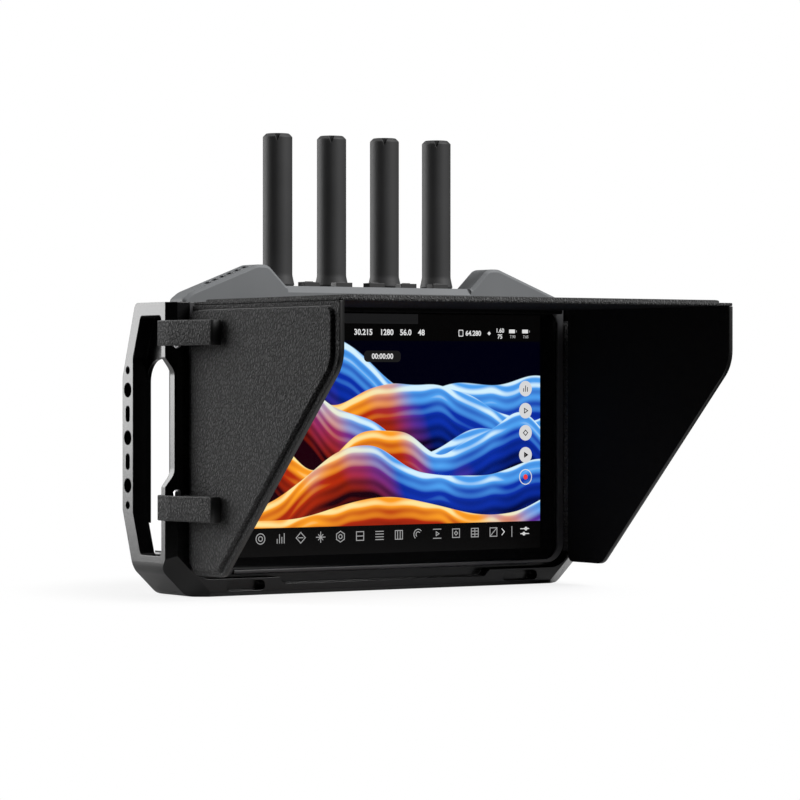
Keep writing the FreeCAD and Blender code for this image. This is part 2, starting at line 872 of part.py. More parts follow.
def battery_plate(x):
    """Slide-on battery plate on the back casing, with a channel and a pocket for the catch."""
    y0 = front_y + body_depth
    y1 = y0 + battery_t
    half = battery_w / 2
    plate = prism_xz(rect(x - half, x + half, battery_bottom, battery_top), y0, y1, shell_wall)
    half_channel = battery_channel_w / 2
    channel_low = battery_bottom + catch_rise + catch_h * 2
    channel_y = y1 - battery_channel_d
    channel = box(x - half_channel, x + half_channel, channel_y, y1 + cut_over, channel_low, battery_top + fit)
    floor = y1 + catch_proud - catch_l - catch_travel - fit
    half_catch = catch_w / 2 + slide_fit
    low = battery_bottom + catch_rise - slide_fit
    high = battery_bottom + catch_rise + catch_h + slide_fit
    pocket = box(x - half_catch, x + half_catch, floor, y1 + cut_over, low, high)
    return plate.cut([channel, pocket])


def battery_catch(x):
    """Sprung catch with a sloped nose that sinks into the plate as a battery slides on."""
    y1 = front_y + body_depth + battery_t + catch_proud
    low = battery_bottom + catch_rise
    points = [
        (y1 - catch_l, low),
        (y1, low),
        (y1, low + catch_h / 2),
        (y1 - catch_proud, low + catch_h),
        (y1 - catch_l, low + catch_h),
    ]
    return prism_yz(points, x - catch_w / 2, x + catch_w / 2)


def battery_contacts():
    y0 = front_y + body_depth + battery_t - battery_channel_d
    z = battery_top - contact_drop
    pins = []
    for side in (-1, 1):
        for step in row(3, contact_pitch):
            pins.append(rod_y(contact_r, y0, y0 + contact_l, side * battery_x + step, z))
    return Part.makeCompound(pins)


def horn_outline(inset):
    """Front outline of the crown, with all but its underside moved inwards."""
    right = [
        (half_crown, cage_h),
        (half_crown, cage_h + horn_tip_h),
        (horn_end_x, cage_h + horn_end_h),
        (horn_peak_x + horn_peak_w, cage_h + horn_h),
        (horn_peak_x, cage_h + horn_h),
        (horn_foot_x, ledge_z),
    ]
    points = right + [(-x, z) for x, z in reversed(right)]
    tip_round = horn_tip_round - inset
    end_round = horn_end_round - inset
    peak_round = horn_peak_round - inset
    rounds = [0, tip_round, end_round, peak_round, peak_round, horn_foot_round + inset]
    insets = [inset] * (len(points) - 1) + [0]
    return inset_points(points, insets), rounds + list(reversed(rounds))


def ledge_wedge(y0):
    """Bevel along the ledge's front edge, which runs out to nothing at the foot of each horn."""
    full_x = horn_foot_x - ledge_ramp
    sections = []
    for x, size in ((-horn_foot_x, 0), (-full_x, ledge_bevel), (full_x, ledge_bevel), (horn_foot_x, 0)):
        reach = size + fit
        points = [(y0 - fit, ledge_z - reach), (y0 + reach, ledge_z + fit), (y0 - fit, ledge_z + fit)]
        sections.append(outline(points, spread(points, 0), at_yz(x)).OuterWire)
    return Part.makeLoft(sections, True, True)


def crown():
    """Top cover with a raised horn at each end and a ledge for the buttons and antennas."""
    y0 = front_y + crown_setback
    y1 = y0 + crown_depth
    points, rounds = horn_outline(0)
    face, face_rounds = horn_outline(horn_bevel)
    bevel_y = y0 + horn_bevel
    cover = prism_xz(points, bevel_y, y1, rounds)
    front = outline(face, face_rounds, at_xz(y0)).OuterWire
    full = outline(points, rounds, at_xz(bevel_y)).OuterWire
    shelf_y = y1 + antenna_shelf_depth
    shelf = box(-antenna_shelf_x, antenna_shelf_x, y1, shelf_y, cage_h, ledge_z)
    cover = cover.fuse([Part.makeLoft([front, full], True, True), shelf]).removeSplitter()
    cuts = [ledge_wedge(y0)]
    pocket_y = front_y + pocket_front
    half_pocket = button_row_x + pocket_end
    roof = ledge_z - button_roof
    cuts.append(box(-half_pocket, half_pocket, pocket_y, pocket_y + pocket_d, cage_h - fit, roof))
    for x in row(button_count, button_pitch):
        cuts.append(button_prism(x, slide_fit, cage_h, ledge_z + cut_over))
    for x in row(antenna_count, antenna_pitch):
        cuts.append(rod_z(connector_r + slide_fit, cage_h - fit, ledge_z + fit, x, front_y + antenna_setback))
    for x, y in crown_screw_places():
        cuts.append(rod_z(screw_r + screw_fit, cage_h - fit, cage_h + screw_l, x, y))
    for dimple in horn_dimples(y0, y1):
        cuts.append(dimple)
        cuts.append(mirrored(dimple))
    return cover.cut(cuts)


def horn_dimples(y0, y1):
    """Row of shallow oval pockets up the outer slope of the right horn."""
    low = Vector(horn_end_x, 0, cage_h + horn_end_h)
    high = Vector(horn_peak_x + horn_peak_w, 0, cage_h + horn_h)
    along = high - low
    slope_deg = math.degrees(math.atan2(along.z, -along.x))
    centre = (low + high) / 2
    half_l = dimple_l / 2
    half_w = dimple_w / 2
    mid_y = (y0 + y1) / 2
    dimples = []
    for step in row(dimple_count, dimple_pitch):
        x = centre.x + step - dimple_shift
        ends = rect(x - half_w, x + half_w, mid_y - half_l, mid_y + half_l)
        dimple = prism_xy(ends, centre.z - dimple_depth, centre.z + cut_over, half_w - screw_fit)
        dimple.rotate(centre, Vector(0, 1, 0), slope_deg)
        dimples.append(dimple)
    return dimples


def button_prism(x, grow, z0, z1):
    half_w = button_w / 2 + grow
    half_d = button_d / 2 + grow
    y = front_y + button_setback
    return prism_xy(rect(x - half_w, x + half_w, y - half_d, y + half_d), z0, z1, button_mark + grow)


def button(x):
    """Low key with a flange under the crown's roof and a raised bar on its top."""
    top = ledge_z + button_proud
    flange_top = ledge_z - button_roof - fit
    flange = button_prism(x, button_flange, flange_top - button_flange_t, flange_top)
    cap = button_prism(x, 0, flange_top - button_flange_t, top)
    y = front_y + button_setback
    half_w = button_bar_w / 2
    half_d = button_mark
    bar = box(x - half_w, x + half_w, y - half_d, y + half_d, top - button_mark, top + button_mark)
    return cap.fuse([flange, bar]).removeSplitter()


def button_board():
    """Switch board under the buttons, lying on the casing."""
    half = button_row_x + pocket_end - button_board_margin
    y0 = front_y + pocket_front + button_board_margin
    y1 = y0 + pocket_d - button_board_margin * 2
    top = cage_h + button_board_t
    board = box(-half, half, y0, y1, cage_h, top)
    rest = ledge_z - button_roof - fit - button_flange_t
    switches = []
    for x in row(button_count, button_pitch):
        y = front_y + button_setback
        high = rest - button_travel - screw_fit
        switches.append(box(x - switch_w / 2, x + switch_w / 2, y - switch_d / 2, y + switch_d / 2, top, high))
    return board.fuse(switches).removeSplitter()


def antenna_connectors():
    pieces = []
    for x in row(antenna_count, antenna_pitch):
        y = front_y + antenna_setback
        seat = cage_h - shell_wall
        flange = rod_z(connector_flange_r, seat - connector_flange_t, seat, x, y)
        pieces.append(flange.fuse(rod_z(connector_r, seat, connector_top, x, y)).removeSplitter())
    return Part.makeCompound(pieces)


def antenna(x):
    """Stub rod with a flared foot that turns on its connector, notched round its top rim."""
    y = front_y + antenna_setback
    foot = ledge_z + fit
    half_bevel = antenna_crown_bevel / 2
    profile = [
        (connector_r + shaft_fit, foot),
        (antenna_flare_r, foot),
        (antenna_r, foot + antenna_flare_h),
        (antenna_r, antenna_top - antenna_crown_bevel),
        (antenna_r - antenna_crown_bevel, antenna_top),
        (0, antenna_top),
        (0, connector_top + fit),
        (connector_r + shaft_fit, connector_top + fit),
    ]
    rounds = [0, half_bevel, antenna_r, half_bevel, half_bevel, 0, 0, 0]
    rod = outline(profile, rounds, at_xz(0)).revolve(Vector(0, 0, 0), Vector(0, 0, 1), 360)
    tip = [
        (-antenna_notch_w / 2, antenna_top + fit),
        (0, antenna_top - antenna_notch_h),
        (antenna_notch_w / 2, antenna_top + fit),
    ]
    for i in range(antenna_notches):
        notch = prism_xz(tip, -antenna_r - fit, -antenna_r + antenna_crown_bevel)
        notch.rotate(Vector(0, 0, 0), Vector(0, 0, 1), i * 360 / antenna_notches - antenna_turn_deg)
        rod = rod.cut(notch)
    rod.translate(Vector(x, y, 0))
    return rod


def hood_top():
    """Stiff top panel: a thick middle board with a thin flange that lies over each side flap."""
    middle_x = half_hood - hood_flange_w
    under = hood_under_z
    middle = box(-middle_x, middle_x, hood_front_y, hood_back_y, under, hood_top_z)
    flange = box(-half_hood, half_hood, hood_front_y, hood_back_y, under, under + hood_flange_t)
    return middle.fuse(flange).removeSplitter()


def hood_flap(panel_back):
    """Left side flap, cut back along its lower front edge, with a raised panel on its outer face."""
    points = [
        (hood_back_y, flap_bottom),
        (hood_back_y - flap_foot, flap_bottom),
        (hood_front_y, flap_top - flap_front_h),
        (hood_front_y, flap_top),
        (hood_back_y, flap_top),
    ]
    rounds = [flap_foot_round / 2, flap_foot_round, flap_front_round, 0, 0]
    flap = prism_yz(points, -half_hood, -flap_inner_x, rounds)
    edge = rect(-half_hood, -flap_inner_x, hood_front_y - cut_over, hood_back_y)
    flap = flap.common(prism_xy(edge, 0, hood_top_z, [0, 0, 0, flap_edge_round]))
    raised = inset_points(points, [panel_low_in, panel_slant_in, panel_front_in, panel_top_in, panel_back])
    raised_rounds = [panel_round, panel_round, panel_front_round, panel_round, panel_round]
    return flap.fuse(prism_yz(raised, -flap_face_x, -half_hood, raised_rounds)).removeSplitter()


def hood_strip():
    """Leather strip on the top of the bezel, which the hood's top panel folds on."""
    half = glass_w / 2
    y1 = front_y + bezel_front
    y0 = y1 - hood_strip_t
    return box(-half, half, y0, y1, cage_h - hood_strip_h, cage_h)


def strap_heights():
    return [strap_low_z, cage_h - strap_top_drop]


def strap(z):
    """Leather loop round the left column, with a long arm out along the flap."""
    outer_x = half_cage + fit + strap_t
    arm_x = flap_face_x + strap_lift
    inside_x = column_inner_x - fit - strap_t
    back_y = front_y + column_depth + fit + strap_t
    leg_y = front_y - strap_slack - strap_t
    tip_y = front_y - strap_reach
    outside = [
        (-outer_x, back_y),
        (-outer_x, leg_y),
        (-arm_x - strap_end_t, tip_y),
        (-arm_x, tip_y),
        (-arm_x, leg_y),
        (-inside_x, leg_y),
        (-inside_x, back_y),
    ]
    inside = [
        (-outer_x + strap_t, back_y - strap_t),
        (-outer_x + strap_t, leg_y + strap_t),
        (-arm_x - strap_end_t + strap_t, tip_y + strap_t),
        (-arm_x - strap_t, tip_y + strap_t),
        (-arm_x - strap_t, leg_y + strap_t),
        (-inside_x - strap_t, leg_y + strap_t),
        (-inside_x - strap_t, back_y - strap_t),
    ]
    half = strap_w / 2
    round_out = [strap_round, strap_round, strap_round, strap_round, 0, strap_round, strap_round]
    band = prism_xy(outside, z - half, z + half, round_out)
    return band.cut(prism_xy(inside, z - half - fit, z + half + fit))


def strap_pin(z, below, above):
    """Round-ended steel pin that stands in a left strap's loop, in front of the column."""
    low = -strap_w / 2 - below
    high = strap_w / 2 + above
    profile = [(0, low), (strap_pin_r, low), (strap_pin_r, high), (0, high)]
    rounds = [0, strap_pin_r - slide_fit, strap_pin_r - slide_fit, 0]
    pin = outline(profile, rounds, at_xz(0)).revolve(Vector(0, 0, 0), Vector(0, 0, 1), 360)
    x = half_cage + fit + strap_t - strap_pin_inset
    pin.translate(Vector(-x, front_y - strap_pin_ahead, z))
    return pin


left_plate = side_plate()
save("side_plate_left", left_plate)
save("side_plate_right", mirrored(left_plate))
save("bottom_rail", bottom_rail())
save("rail_screws", rail_screws())
save("side_screws", side_screws())
save("crown", crown())
save("crown_screws", crown_screws())
save("rear_shell", rear_shell())
save("port_cover", port_cover())
save("front_bezel", front_bezel())
save("cover_glass", glass_slab(0, glass_setback, glass_back))
save("display_panel", display_panel())
save("backlight_plate", backlight_plate())
save("board_standoffs", board_standoffs())
save("main_board", main_board())
save("board_screws", board_screws())
save("heat_sink", heat_sink())
save("fan_housing", fan_housing())
save("fan_rotor", fan_rotor())
save("rf_board", rf_board())
save("antenna_connectors", antenna_connectors())
save("button_board", button_board())
save("battery_contacts", battery_contacts())
for side, x in (("left", -battery_x), ("right", battery_x)):
    save("battery_plate_" + side, battery_plate(x))
    save("battery_catch_" + side, battery_catch(x))
for number, x in enumerate(row(button_count, button_pitch), 1):
    save("button_" + str(number), button(x))
for number, x in enumerate(row(antenna_count, antenna_pitch), 1):
    save("antenna_" + str(number), antenna(x))
save("hood_top_panel", hood_top())
save("hood_flap_left", hood_flap(panel_back_in))
save("hood_flap_right", mirrored(hood_flap(panel_fold_in)))
save("hood_strip", hood_strip())
low_z, high_z = strap_heights()
pins = [strap_pin(low_z, -strap_pin_sunk, strap_pin_proud), strap_pin(high_z, strap_pin_tail, -strap_pin_sunk)]
save("strap_pins", Part.makeCompound(pins + [mirrored(pin) for pin in pins]))
for level, z in zip(("lower", "upper"), strap_heights()):
    save("strap_left_" + level, strap(z))
    save("strap_right_" + level, mirrored(strap(z)))
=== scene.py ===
# %% [markdown]
# # Recording monitor
# A seven inch monitor sits in a dark metal cage, under a folding leather hood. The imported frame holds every
# rigid piece. This lesson gives those pieces their finish, builds the hood and its straps as leather over
# board, and lays a lit picture on the screen.

# %% Load the frame
import math

import bmesh
import bpy
from mathutils import Matrix, Vector


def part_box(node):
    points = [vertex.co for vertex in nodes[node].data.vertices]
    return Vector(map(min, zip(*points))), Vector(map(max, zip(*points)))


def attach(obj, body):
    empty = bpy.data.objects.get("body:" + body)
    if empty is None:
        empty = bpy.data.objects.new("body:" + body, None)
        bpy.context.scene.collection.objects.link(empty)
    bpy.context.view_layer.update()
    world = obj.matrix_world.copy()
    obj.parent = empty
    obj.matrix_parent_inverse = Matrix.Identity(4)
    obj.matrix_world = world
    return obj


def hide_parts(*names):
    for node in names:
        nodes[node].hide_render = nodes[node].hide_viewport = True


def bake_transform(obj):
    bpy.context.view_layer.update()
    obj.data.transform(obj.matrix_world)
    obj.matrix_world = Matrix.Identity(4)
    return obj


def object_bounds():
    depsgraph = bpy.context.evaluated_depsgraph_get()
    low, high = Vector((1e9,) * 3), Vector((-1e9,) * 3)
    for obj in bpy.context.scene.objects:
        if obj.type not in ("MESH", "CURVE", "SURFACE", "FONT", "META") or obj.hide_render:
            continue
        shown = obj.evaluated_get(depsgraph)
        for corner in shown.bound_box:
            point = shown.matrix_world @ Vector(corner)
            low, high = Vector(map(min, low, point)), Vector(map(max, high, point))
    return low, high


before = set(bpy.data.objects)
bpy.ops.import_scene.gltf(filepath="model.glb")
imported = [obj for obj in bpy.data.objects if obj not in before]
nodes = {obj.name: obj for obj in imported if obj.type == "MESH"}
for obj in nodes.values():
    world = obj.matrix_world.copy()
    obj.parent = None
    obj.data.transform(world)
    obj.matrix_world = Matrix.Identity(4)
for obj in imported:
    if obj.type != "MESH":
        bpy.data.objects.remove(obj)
cad_low, cad_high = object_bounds()
MM = 0.001
print("frame", len(nodes), "nodes, box", [round(v, 4) for v in (*cad_low, *cad_high)])

# %% [markdown]
# ## Camera
# The photograph was taken level, from the left, with a long lens. The upright edges in it stay upright, so
# the camera looks straight ahead and a small lens shift frames the object. Tilting the camera instead would
# lean every edge.

# %% Camera
scene = bpy.context.scene
IMAGE_PX = 800
AZIMUTH = math.radians(33.27)
DISTANCE = 1358.12 * MM
EYE_HEIGHT = 82.55 * MM
FOCAL_PX = 3431.43
MIDDLE_PX = (369.82, 379.84)
SENSOR_MM = 36

looking = Vector((math.sin(AZIMUTH), math.cos(AZIMUTH), 0))
camera = bpy.data.objects.new("camera", bpy.data.cameras.new("camera"))
scene.collection.objects.link(camera)
camera.data.sensor_width = SENSOR_MM
camera.data.lens = FOCAL_PX / IMAGE_PX * SENSOR_MM
camera.data.shift_x = 0.5 - MIDDLE_PX[0] / IMAGE_PX
camera.data.shift_y = MIDDLE_PX[1] / IMAGE_PX - 0.5
camera.location = Vector((0, 0, EYE_HEIGHT)) - looking * DISTANCE
camera.rotation_euler = looking.to_track_quat("-Z", "Y").to_euler()
scene.camera = camera
scene.view_settings.view_transform = "Standard"
print("camera at", [round(v, 3) for v in camera.location], "lens", round(camera.data.lens, 1))

# %% [markdown]
# ## Writing node trees
# Every finish here is a node tree. Wiring nodes by hand is slow to read, so one small class stands for a
# socket and Python's own operators on it add Math nodes, and one method adds any other node.

# %% Node helper
class Wire:
    """One output socket. An expression on wires adds the Math nodes for it."""

    def __init__(self, graph, socket):
        self.graph = graph
        self.socket = socket

    def join(self, operation, first, second):
        return self.graph.add("ShaderNodeMath", {"operation": operation}, {0: first, 1: second})

    def __add__(self, other):
        return self.join("ADD", self, other)

    def __sub__(self, other):
        return self.join("SUBTRACT", self, other)

    def __rsub__(self, other):
        return self.join("SUBTRACT", other, self)

    def __mul__(self, other):
        return self.join("MULTIPLY", self, other)

    def __truediv__(self, other):
        return self.join("DIVIDE", self, other)

    __radd__ = __add__
    __rmul__ = __mul__


class Graph:
    """A node tree that grows by one call for each node."""

    # A Mix node has sockets for every data type. These are its colour ones, by their place in the list.
    MIX_COLOURS = (6, 7)
    MIX_RESULT = 2

    def __init__(self, tree):
        self.tree = tree
        tree.nodes.clear()

    def add(self, kind, settings=None, sockets=None, out=0):
        node = self.tree.nodes.new(kind)
        for name, value in (settings or {}).items():
            if name == "stops":
                ramp = node.color_ramp.elements
                while len(ramp) < len(value):
                    ramp.new(1.0)
                for element, (position, colour) in zip(ramp, value):
                    element.position = position
                    element.color = (*colour, 1.0)
            else:
                setattr(node, name, value)
        for name, value in (sockets or {}).items():
            if isinstance(value, Wire):
                self.tree.links.new(value.socket, node.inputs[name])
            else:
                node.inputs[name].default_value = value
        return Wire(self, node.outputs[out]) if len(node.outputs) else None

    def mix(self, share, first, second):
        """Mixes two colours, each a wire or three plain numbers."""
        sockets = {0: share}
        for place, colour in zip(self.MIX_COLOURS, (first, second)):
            sockets[place] = colour if isinstance(colour, Wire) else (*colour, 1.0)
        return self.add("ShaderNodeMix", {"data_type": "RGBA"}, sockets, out=self.MIX_RESULT)

    def step(self, value, low, high):
        sockets = {"Value": value, "From Min": low, "From Max": high}
        return self.add("ShaderNodeMapRange", {"interpolation_type": "SMOOTHSTEP"}, sockets)

    def largest(self, *wires):
        result = wires[0]
        for wire in wires[1:]:
            result = result.join("MAXIMUM", result, wire)
        return result


def shade(colour, level):
    """The same colour, darker or lighter."""
    return tuple(min(1.0, part * level) for part in colour)


class Finish(Graph):
    """A material on Object coordinates, with one Principled shader."""

    EDGE_SAMPLES = 8

    def __init__(self, name):
        self.material = bpy.data.materials.new(name)
        self.material.use_nodes = True
        super().__init__(self.material.node_tree)
        self.place = self.add("ShaderNodeTexCoord", out="Object")

    def noise(self, size, detail=2.0, out=0, place=None):
        sockets = {"Vector": place or self.place, "Scale": 1 / size, "Detail": detail}
        return self.add("ShaderNodeTexNoise", None, sockets, out)

    def bump(self, height, depth, rounding=0.0):
        sockets = {"Height": height, "Distance": depth}
        if rounding:
            samples = {"samples": self.EDGE_SAMPLES}
            sockets["Normal"] = self.add("ShaderNodeBevel", samples, {"Radius": rounding})
        return self.add("ShaderNodeBump", None, sockets)

    def toned(self, noise, colour, spread):
        """The colour, made darker and lighter by a share as the noise goes from 0 to 1."""
        return self.mix(noise, shade(colour, 1 - spread), shade(colour, 1 + spread))

    def roughened(self, noise, middle, spread):
        """A roughness that the noise moves about its middle."""
        return noise * spread + (middle - spread / 2)

    def surface(self, **sockets):
        named = {name.replace("_", " "): value for name, value in sockets.items()}
        shader = self.add("ShaderNodeBsdfPrincipled", None, named)
        self.add("ShaderNodeOutputMaterial", None, {"Surface": shader})
        return self.material


print("node helper ready")

# %% [markdown]
# ## Studio
# The photograph is cut out on white, and its light comes from two sides: a large soft panel behind the left
# shoulder, which the cage's sides mirror, and a softer lamp in front at the upper right. Everything else in
# front is dark, so the front edges stay black. A white room would grey all of that, so dark cloth hangs
# round the front and runs in over the floor. The cloth and the lamps don't show. The floor and the
# background are white to the camera and in mirrors, but close to the object a mirror sees the plain floor
# with its shadow.

# %% World
def ray_kind(graph, *names):
    """1 for the kinds of ray that are named."""
    return graph.largest(*[graph.add("ShaderNodeLightPath", out=name) for name in names])


MIRROR_RAYS = ("Is Glossy Ray", "Is Transmission Ray")
WORLD_LEVEL = 0.35

world = bpy.data.worlds.new("white_room")
world.use_nodes = True
scene.world = world
sky = Graph(world.node_tree)
white = (1.0, 1.0, 1.0, 1.0)
lit = ray_kind(sky, "Is Camera Ray", *MIRROR_RAYS) * (1 - WORLD_LEVEL) + WORLD_LEVEL
background = sky.add("ShaderNodeBackground", None, {"Color": white, "Strength": lit})
sky.add("ShaderNodeOutputWorld", None, {"Surface": background})
print("world level", WORLD_LEVEL)

# %% [markdown]
# ## Floor
# A cut-out object still needs a soft shadow under it to stand on something. The floor is paper that is
# mixed with plain white light: mostly white to the camera, so that a faint shadow is left, and all white
# away from the object.

# %% Floor
FLOOR_RADIUS = 2.2
FLOOR_SIDES = 96
FLOOR_DROP = 0.1 * MM
FLOOR_GREY = 0.82
SHADOW_SHARE = 0.16
FADE_START = 0.09
FADE_END = 0.15

pale = Finish("pale_floor")
far = pale.add("ShaderNodeVectorMath", {"operation": "LENGTH"}, {0: pale.place}, out="Value")
fade = pale.step(far, FADE_START, FADE_END)
viewed = ray_kind(pale, "Is Camera Ray") * (fade * SHADOW_SHARE + (1 - SHADOW_SHARE))
cover = pale.largest(viewed, ray_kind(pale, *MIRROR_RAYS) * fade)
paper = pale.add("ShaderNodeBsdfDiffuse", None, {"Color": (FLOOR_GREY, FLOOR_GREY, FLOOR_GREY, 1.0)})
glow = pale.add("ShaderNodeEmission", None, {"Color": white})
mixed = pale.add("ShaderNodeMixShader", None, {0: cover, 1: paper, 2: glow})
pale.add("ShaderNodeOutputMaterial", None, {"Surface": mixed})


def stage_piece(name, bm, finish):
    """Makes the mesh a piece of the studio, which isn't part of the object."""
    mesh = bpy.data.meshes.new(name)
    bm.to_mesh(mesh)
    bm.free()
    mesh.materials.append(finish)
    piece = bpy.data.objects.new(name, mesh)
    scene.collection.objects.link(piece)
    return piece


bm = bmesh.new()
bmesh.ops.create_circle(bm, cap_ends=True, segments=FLOOR_SIDES, radius=FLOOR_RADIUS)
bmesh.ops.translate(bm, verts=bm.verts, vec=(0, 0, cad_low.z - FLOOR_DROP))
stage_piece("floor", bm, pale.material)
print("floor radius", FLOOR_RADIUS)

# %% [markdown]
# ## Dark cloth
# Photographers hang black cloth where a shiny edge should stay dark. This one is a curtain on a part
# circle, with a skirt that lies over the floor. It is built as strips between posts, and hidden from the
# camera.

# %% Dark cloth
CLOTH_RADIUS = 1.9
CLOTH_HEIGHT = 3.0
CLOTH_NEAR = 0.16
CLOTH_LIFT = 1 * MM
CLOTH_START = math.radians(158)
CLOTH_END = math.radians(445)
CLOTH_PANELS = 48
CLOTH_RISE = ((CLOTH_NEAR, CLOTH_LIFT), (CLOTH_RADIUS, CLOTH_LIFT), (CLOTH_RADIUS, CLOTH_HEIGHT))

black = Finish("dark_cloth")
black.surface(Base_Color=(0.004, 0.004, 0.004, 1.0), Roughness=1.0, Specular_IOR_Level=0.0)
bm = bmesh.new()
posts = []
for i in range(CLOTH_PANELS + 1):
    turn = CLOTH_START + (CLOTH_END - CLOTH_START) * i / CLOTH_PANELS
    way = Vector((math.cos(turn), math.sin(turn), 0))
    posts.append([bm.verts.new(way * out + Vector((0, 0, up))) for out, up in CLOTH_RISE])
for here, there in zip(posts, posts[1:]):
    for k in range(len(CLOTH_RISE) - 1):
        bm.faces.new((here[k], there[k], there[k + 1], here[k + 1]))
curtain = stage_piece("dark_cloth", bm, black.material)
curtain.visible_camera = False
print("cloth panels", CLOTH_PANELS)

# %% [markdown]
# ## Lamps
# Area lamps give the soft edges that the photograph's reflections have. The side panel makes the bright
# face of the left handle, the front lamp lights the leather, and a weak top lamp opens up the crown.

# %% Lamps
LAMPS = (
    # name, place, width and height, watts
    ("side_panel", (-0.80, 1.02, 0.30), (0.9, 1.1), 22.0),
    ("front_lamp", (0.62, -0.92, 1.08), (0.9, 0.9), 38.0),
    ("top_lamp", (-0.10, 0.25, 1.30), (0.8, 0.8), 1.5),
)
aim = (cad_low + cad_high) / 2
for name, place, (wide, high), watts in LAMPS:
    lamp = bpy.data.lights.new(name, "AREA")
    lamp.shape = "RECTANGLE"
    lamp.size, lamp.size_y, lamp.energy = wide, high, watts
    holder = bpy.data.objects.new(name, lamp)
    scene.collection.objects.link(holder)
    holder.location = place
    holder.rotation_euler = (aim - Vector(place)).to_track_quat("-Z", "Y").to_euler()
    holder.visible_camera = False
print("lamps", len(LAMPS))

# %% [markdown]
# ## Metal finishes
# The cage is milled from aluminium, blasted with fine beads and dyed black, and the crown is the same in
# grey. A blasted skin is a very fine grain that scatters a reflection, so fine noise moves the roughness
# and the bump, and slow noise shifts the tone. A Bevel node rounds each milled edge so that it catches a
# thin line of light.

# %% Metal finishes
BEAD_GRAIN = 0.16 * MM
BEAD_DEPTH = 0.02 * MM
METAL_CLOUD = 26 * MM
MILLED_EDGE = 0.35 * MM
SCRATCH_GRAIN = 0.2 * MM
SCRATCH_DEPTH = 0.01 * MM
TURNED_EDGE = 0.15 * MM


def blasted(name, colour, roughness, metal=0.0, specular=0.5, depth=BEAD_DEPTH):
    finish = Finish(name)
    grit = finish.noise(BEAD_GRAIN, 3.0)
    cloud = finish.noise(METAL_CLOUD)
    return finish.surface(
        Base_Color=finish.toned(cloud, colour, 0.15),
        Metallic=metal,
        Roughness=finish.roughened(grit, roughness, 0.16),
        Specular_IOR_Level=specular,
        Normal=finish.bump(grit, depth, MILLED_EDGE),
    )


def brushed(name, colour, roughness, lay):
    """Bare metal with fine scratches drawn out along one axis."""
    finish = Finish(name)
    drawn = finish.add("ShaderNodeMapping", None, {"Vector": finish.place, "Scale": lay})
    scratch = finish.noise(SCRATCH_GRAIN, 4.0, place=drawn)
    return finish.surface(
        Base_Color=finish.toned(scratch, colour, 0.2),
        Metallic=1.0,
        Roughness=finish.roughened(scratch, roughness, 0.2),
        Normal=finish.bump(scratch, SCRATCH_DEPTH, TURNED_EDGE),
    )


CAGE_DEPTH = 0.006 * MM
cage_black = blasted("cage_black", (0.003, 0.003, 0.0032), 0.25, specular=0.38, depth=CAGE_DEPTH)
crown_grey = blasted("crown_grey", (0.132, 0.137, 0.142), 0.6, metal=0.1, specular=0.35)
casing_black = blasted("casing_black", (0.032, 0.032, 0.034), 0.42)
screw_black = brushed("screw_black", (0.16, 0.16, 0.17), 0.36, (1.0, 1.0, 0.2))
pin_bright = brushed("pin_bright", (0.55, 0.55, 0.56), 0.3, (1.0, 1.0, 0.08))
sheet_bare = brushed("sheet_bare", (0.6, 0.6, 0.61), 0.35, (0.06, 1.0, 1.0))
sink_bare = brushed("sink_bare", (0.5, 0.5, 0.52), 0.4, (1.0, 1.0, 0.06))
contact_gold = brushed("contact_gold", (0.8, 0.58, 0.25), 0.25, (1.0, 1.0, 0.3))
print("metal finishes ready")

# %% [markdown]
# ## Moulded finishes
# The antennas, keys, plates and the socket cover are black mouldings. Tool steel is spark eroded so that
# mouldings come out with a dull skin, which is again a fine noise, coarser and softer than on the metal.
# The boards get a printed look: green lacquer with paler copper runs under it, drawn by the edges of a
# Voronoi pattern.

# %% Moulded finishes
SKIN_GRAIN = 0.3 * MM
SKIN_DEPTH = 0.03 * MM
SKIN_CLOUD = 18 * MM
MOULDED_EDGE = 0.2 * MM
ROD_EDGE = 0.4 * MM
COPPER_RUN = 4 * MM
COPPER_HIGH = 0.03 * MM


def moulded(name, colour, roughness, rounding=MOULDED_EDGE, specular=0.4):
    finish = Finish(name)
    skin = finish.noise(SKIN_GRAIN)
    cloud = finish.noise(SKIN_CLOUD)
    return finish.surface(
        Base_Color=finish.toned(cloud, colour, 0.2),
        Roughness=finish.roughened(skin, roughness, 0.2),
        Specular_IOR_Level=specular,
        Normal=finish.bump(skin, SKIN_DEPTH, rounding),
    )


def lacquered_board(name):
    finish = Finish(name)
    runs = finish.add("ShaderNodeTexVoronoi", {"feature": "DISTANCE_TO_EDGE"},
                      {"Vector": finish.place, "Scale": 1 / COPPER_RUN})
    run = 1 - finish.step(runs, 0.04, 0.1)
    return finish.surface(
        Base_Color=finish.mix(run, (0.01, 0.07, 0.03), (0.03, 0.16, 0.06)),
        Roughness=0.4,
        Normal=finish.bump(run, COPPER_HIGH),
    )


rod_rubber = moulded("rod_rubber", (0.03, 0.03, 0.0305), 0.6, rounding=ROD_EDGE, specular=0.28)
key_plastic = moulded("key_plastic", (0.022, 0.022, 0.022), 0.5)
plate_plastic = moulded("plate_plastic", (0.025, 0.025, 0.025), 0.55)
catch_plastic = moulded("catch_plastic", (0.06, 0.06, 0.06), 0.5)
cover_rubber = moulded("cover_rubber", (0.03, 0.03, 0.03), 0.65)
fan_plastic = moulded("fan_plastic", (0.02, 0.02, 0.02), 0.45)
board_green = lacquered_board("board_green")
print("moulded finishes ready")

# %% [markdown]
# ## Glass
# The cover glass is black behind its border and very smooth, so it mirrors the room. A little slow noise in
# the roughness keeps it from looking like a perfect mirror. The panel behind it never shows, yet it gets
# its own finish.

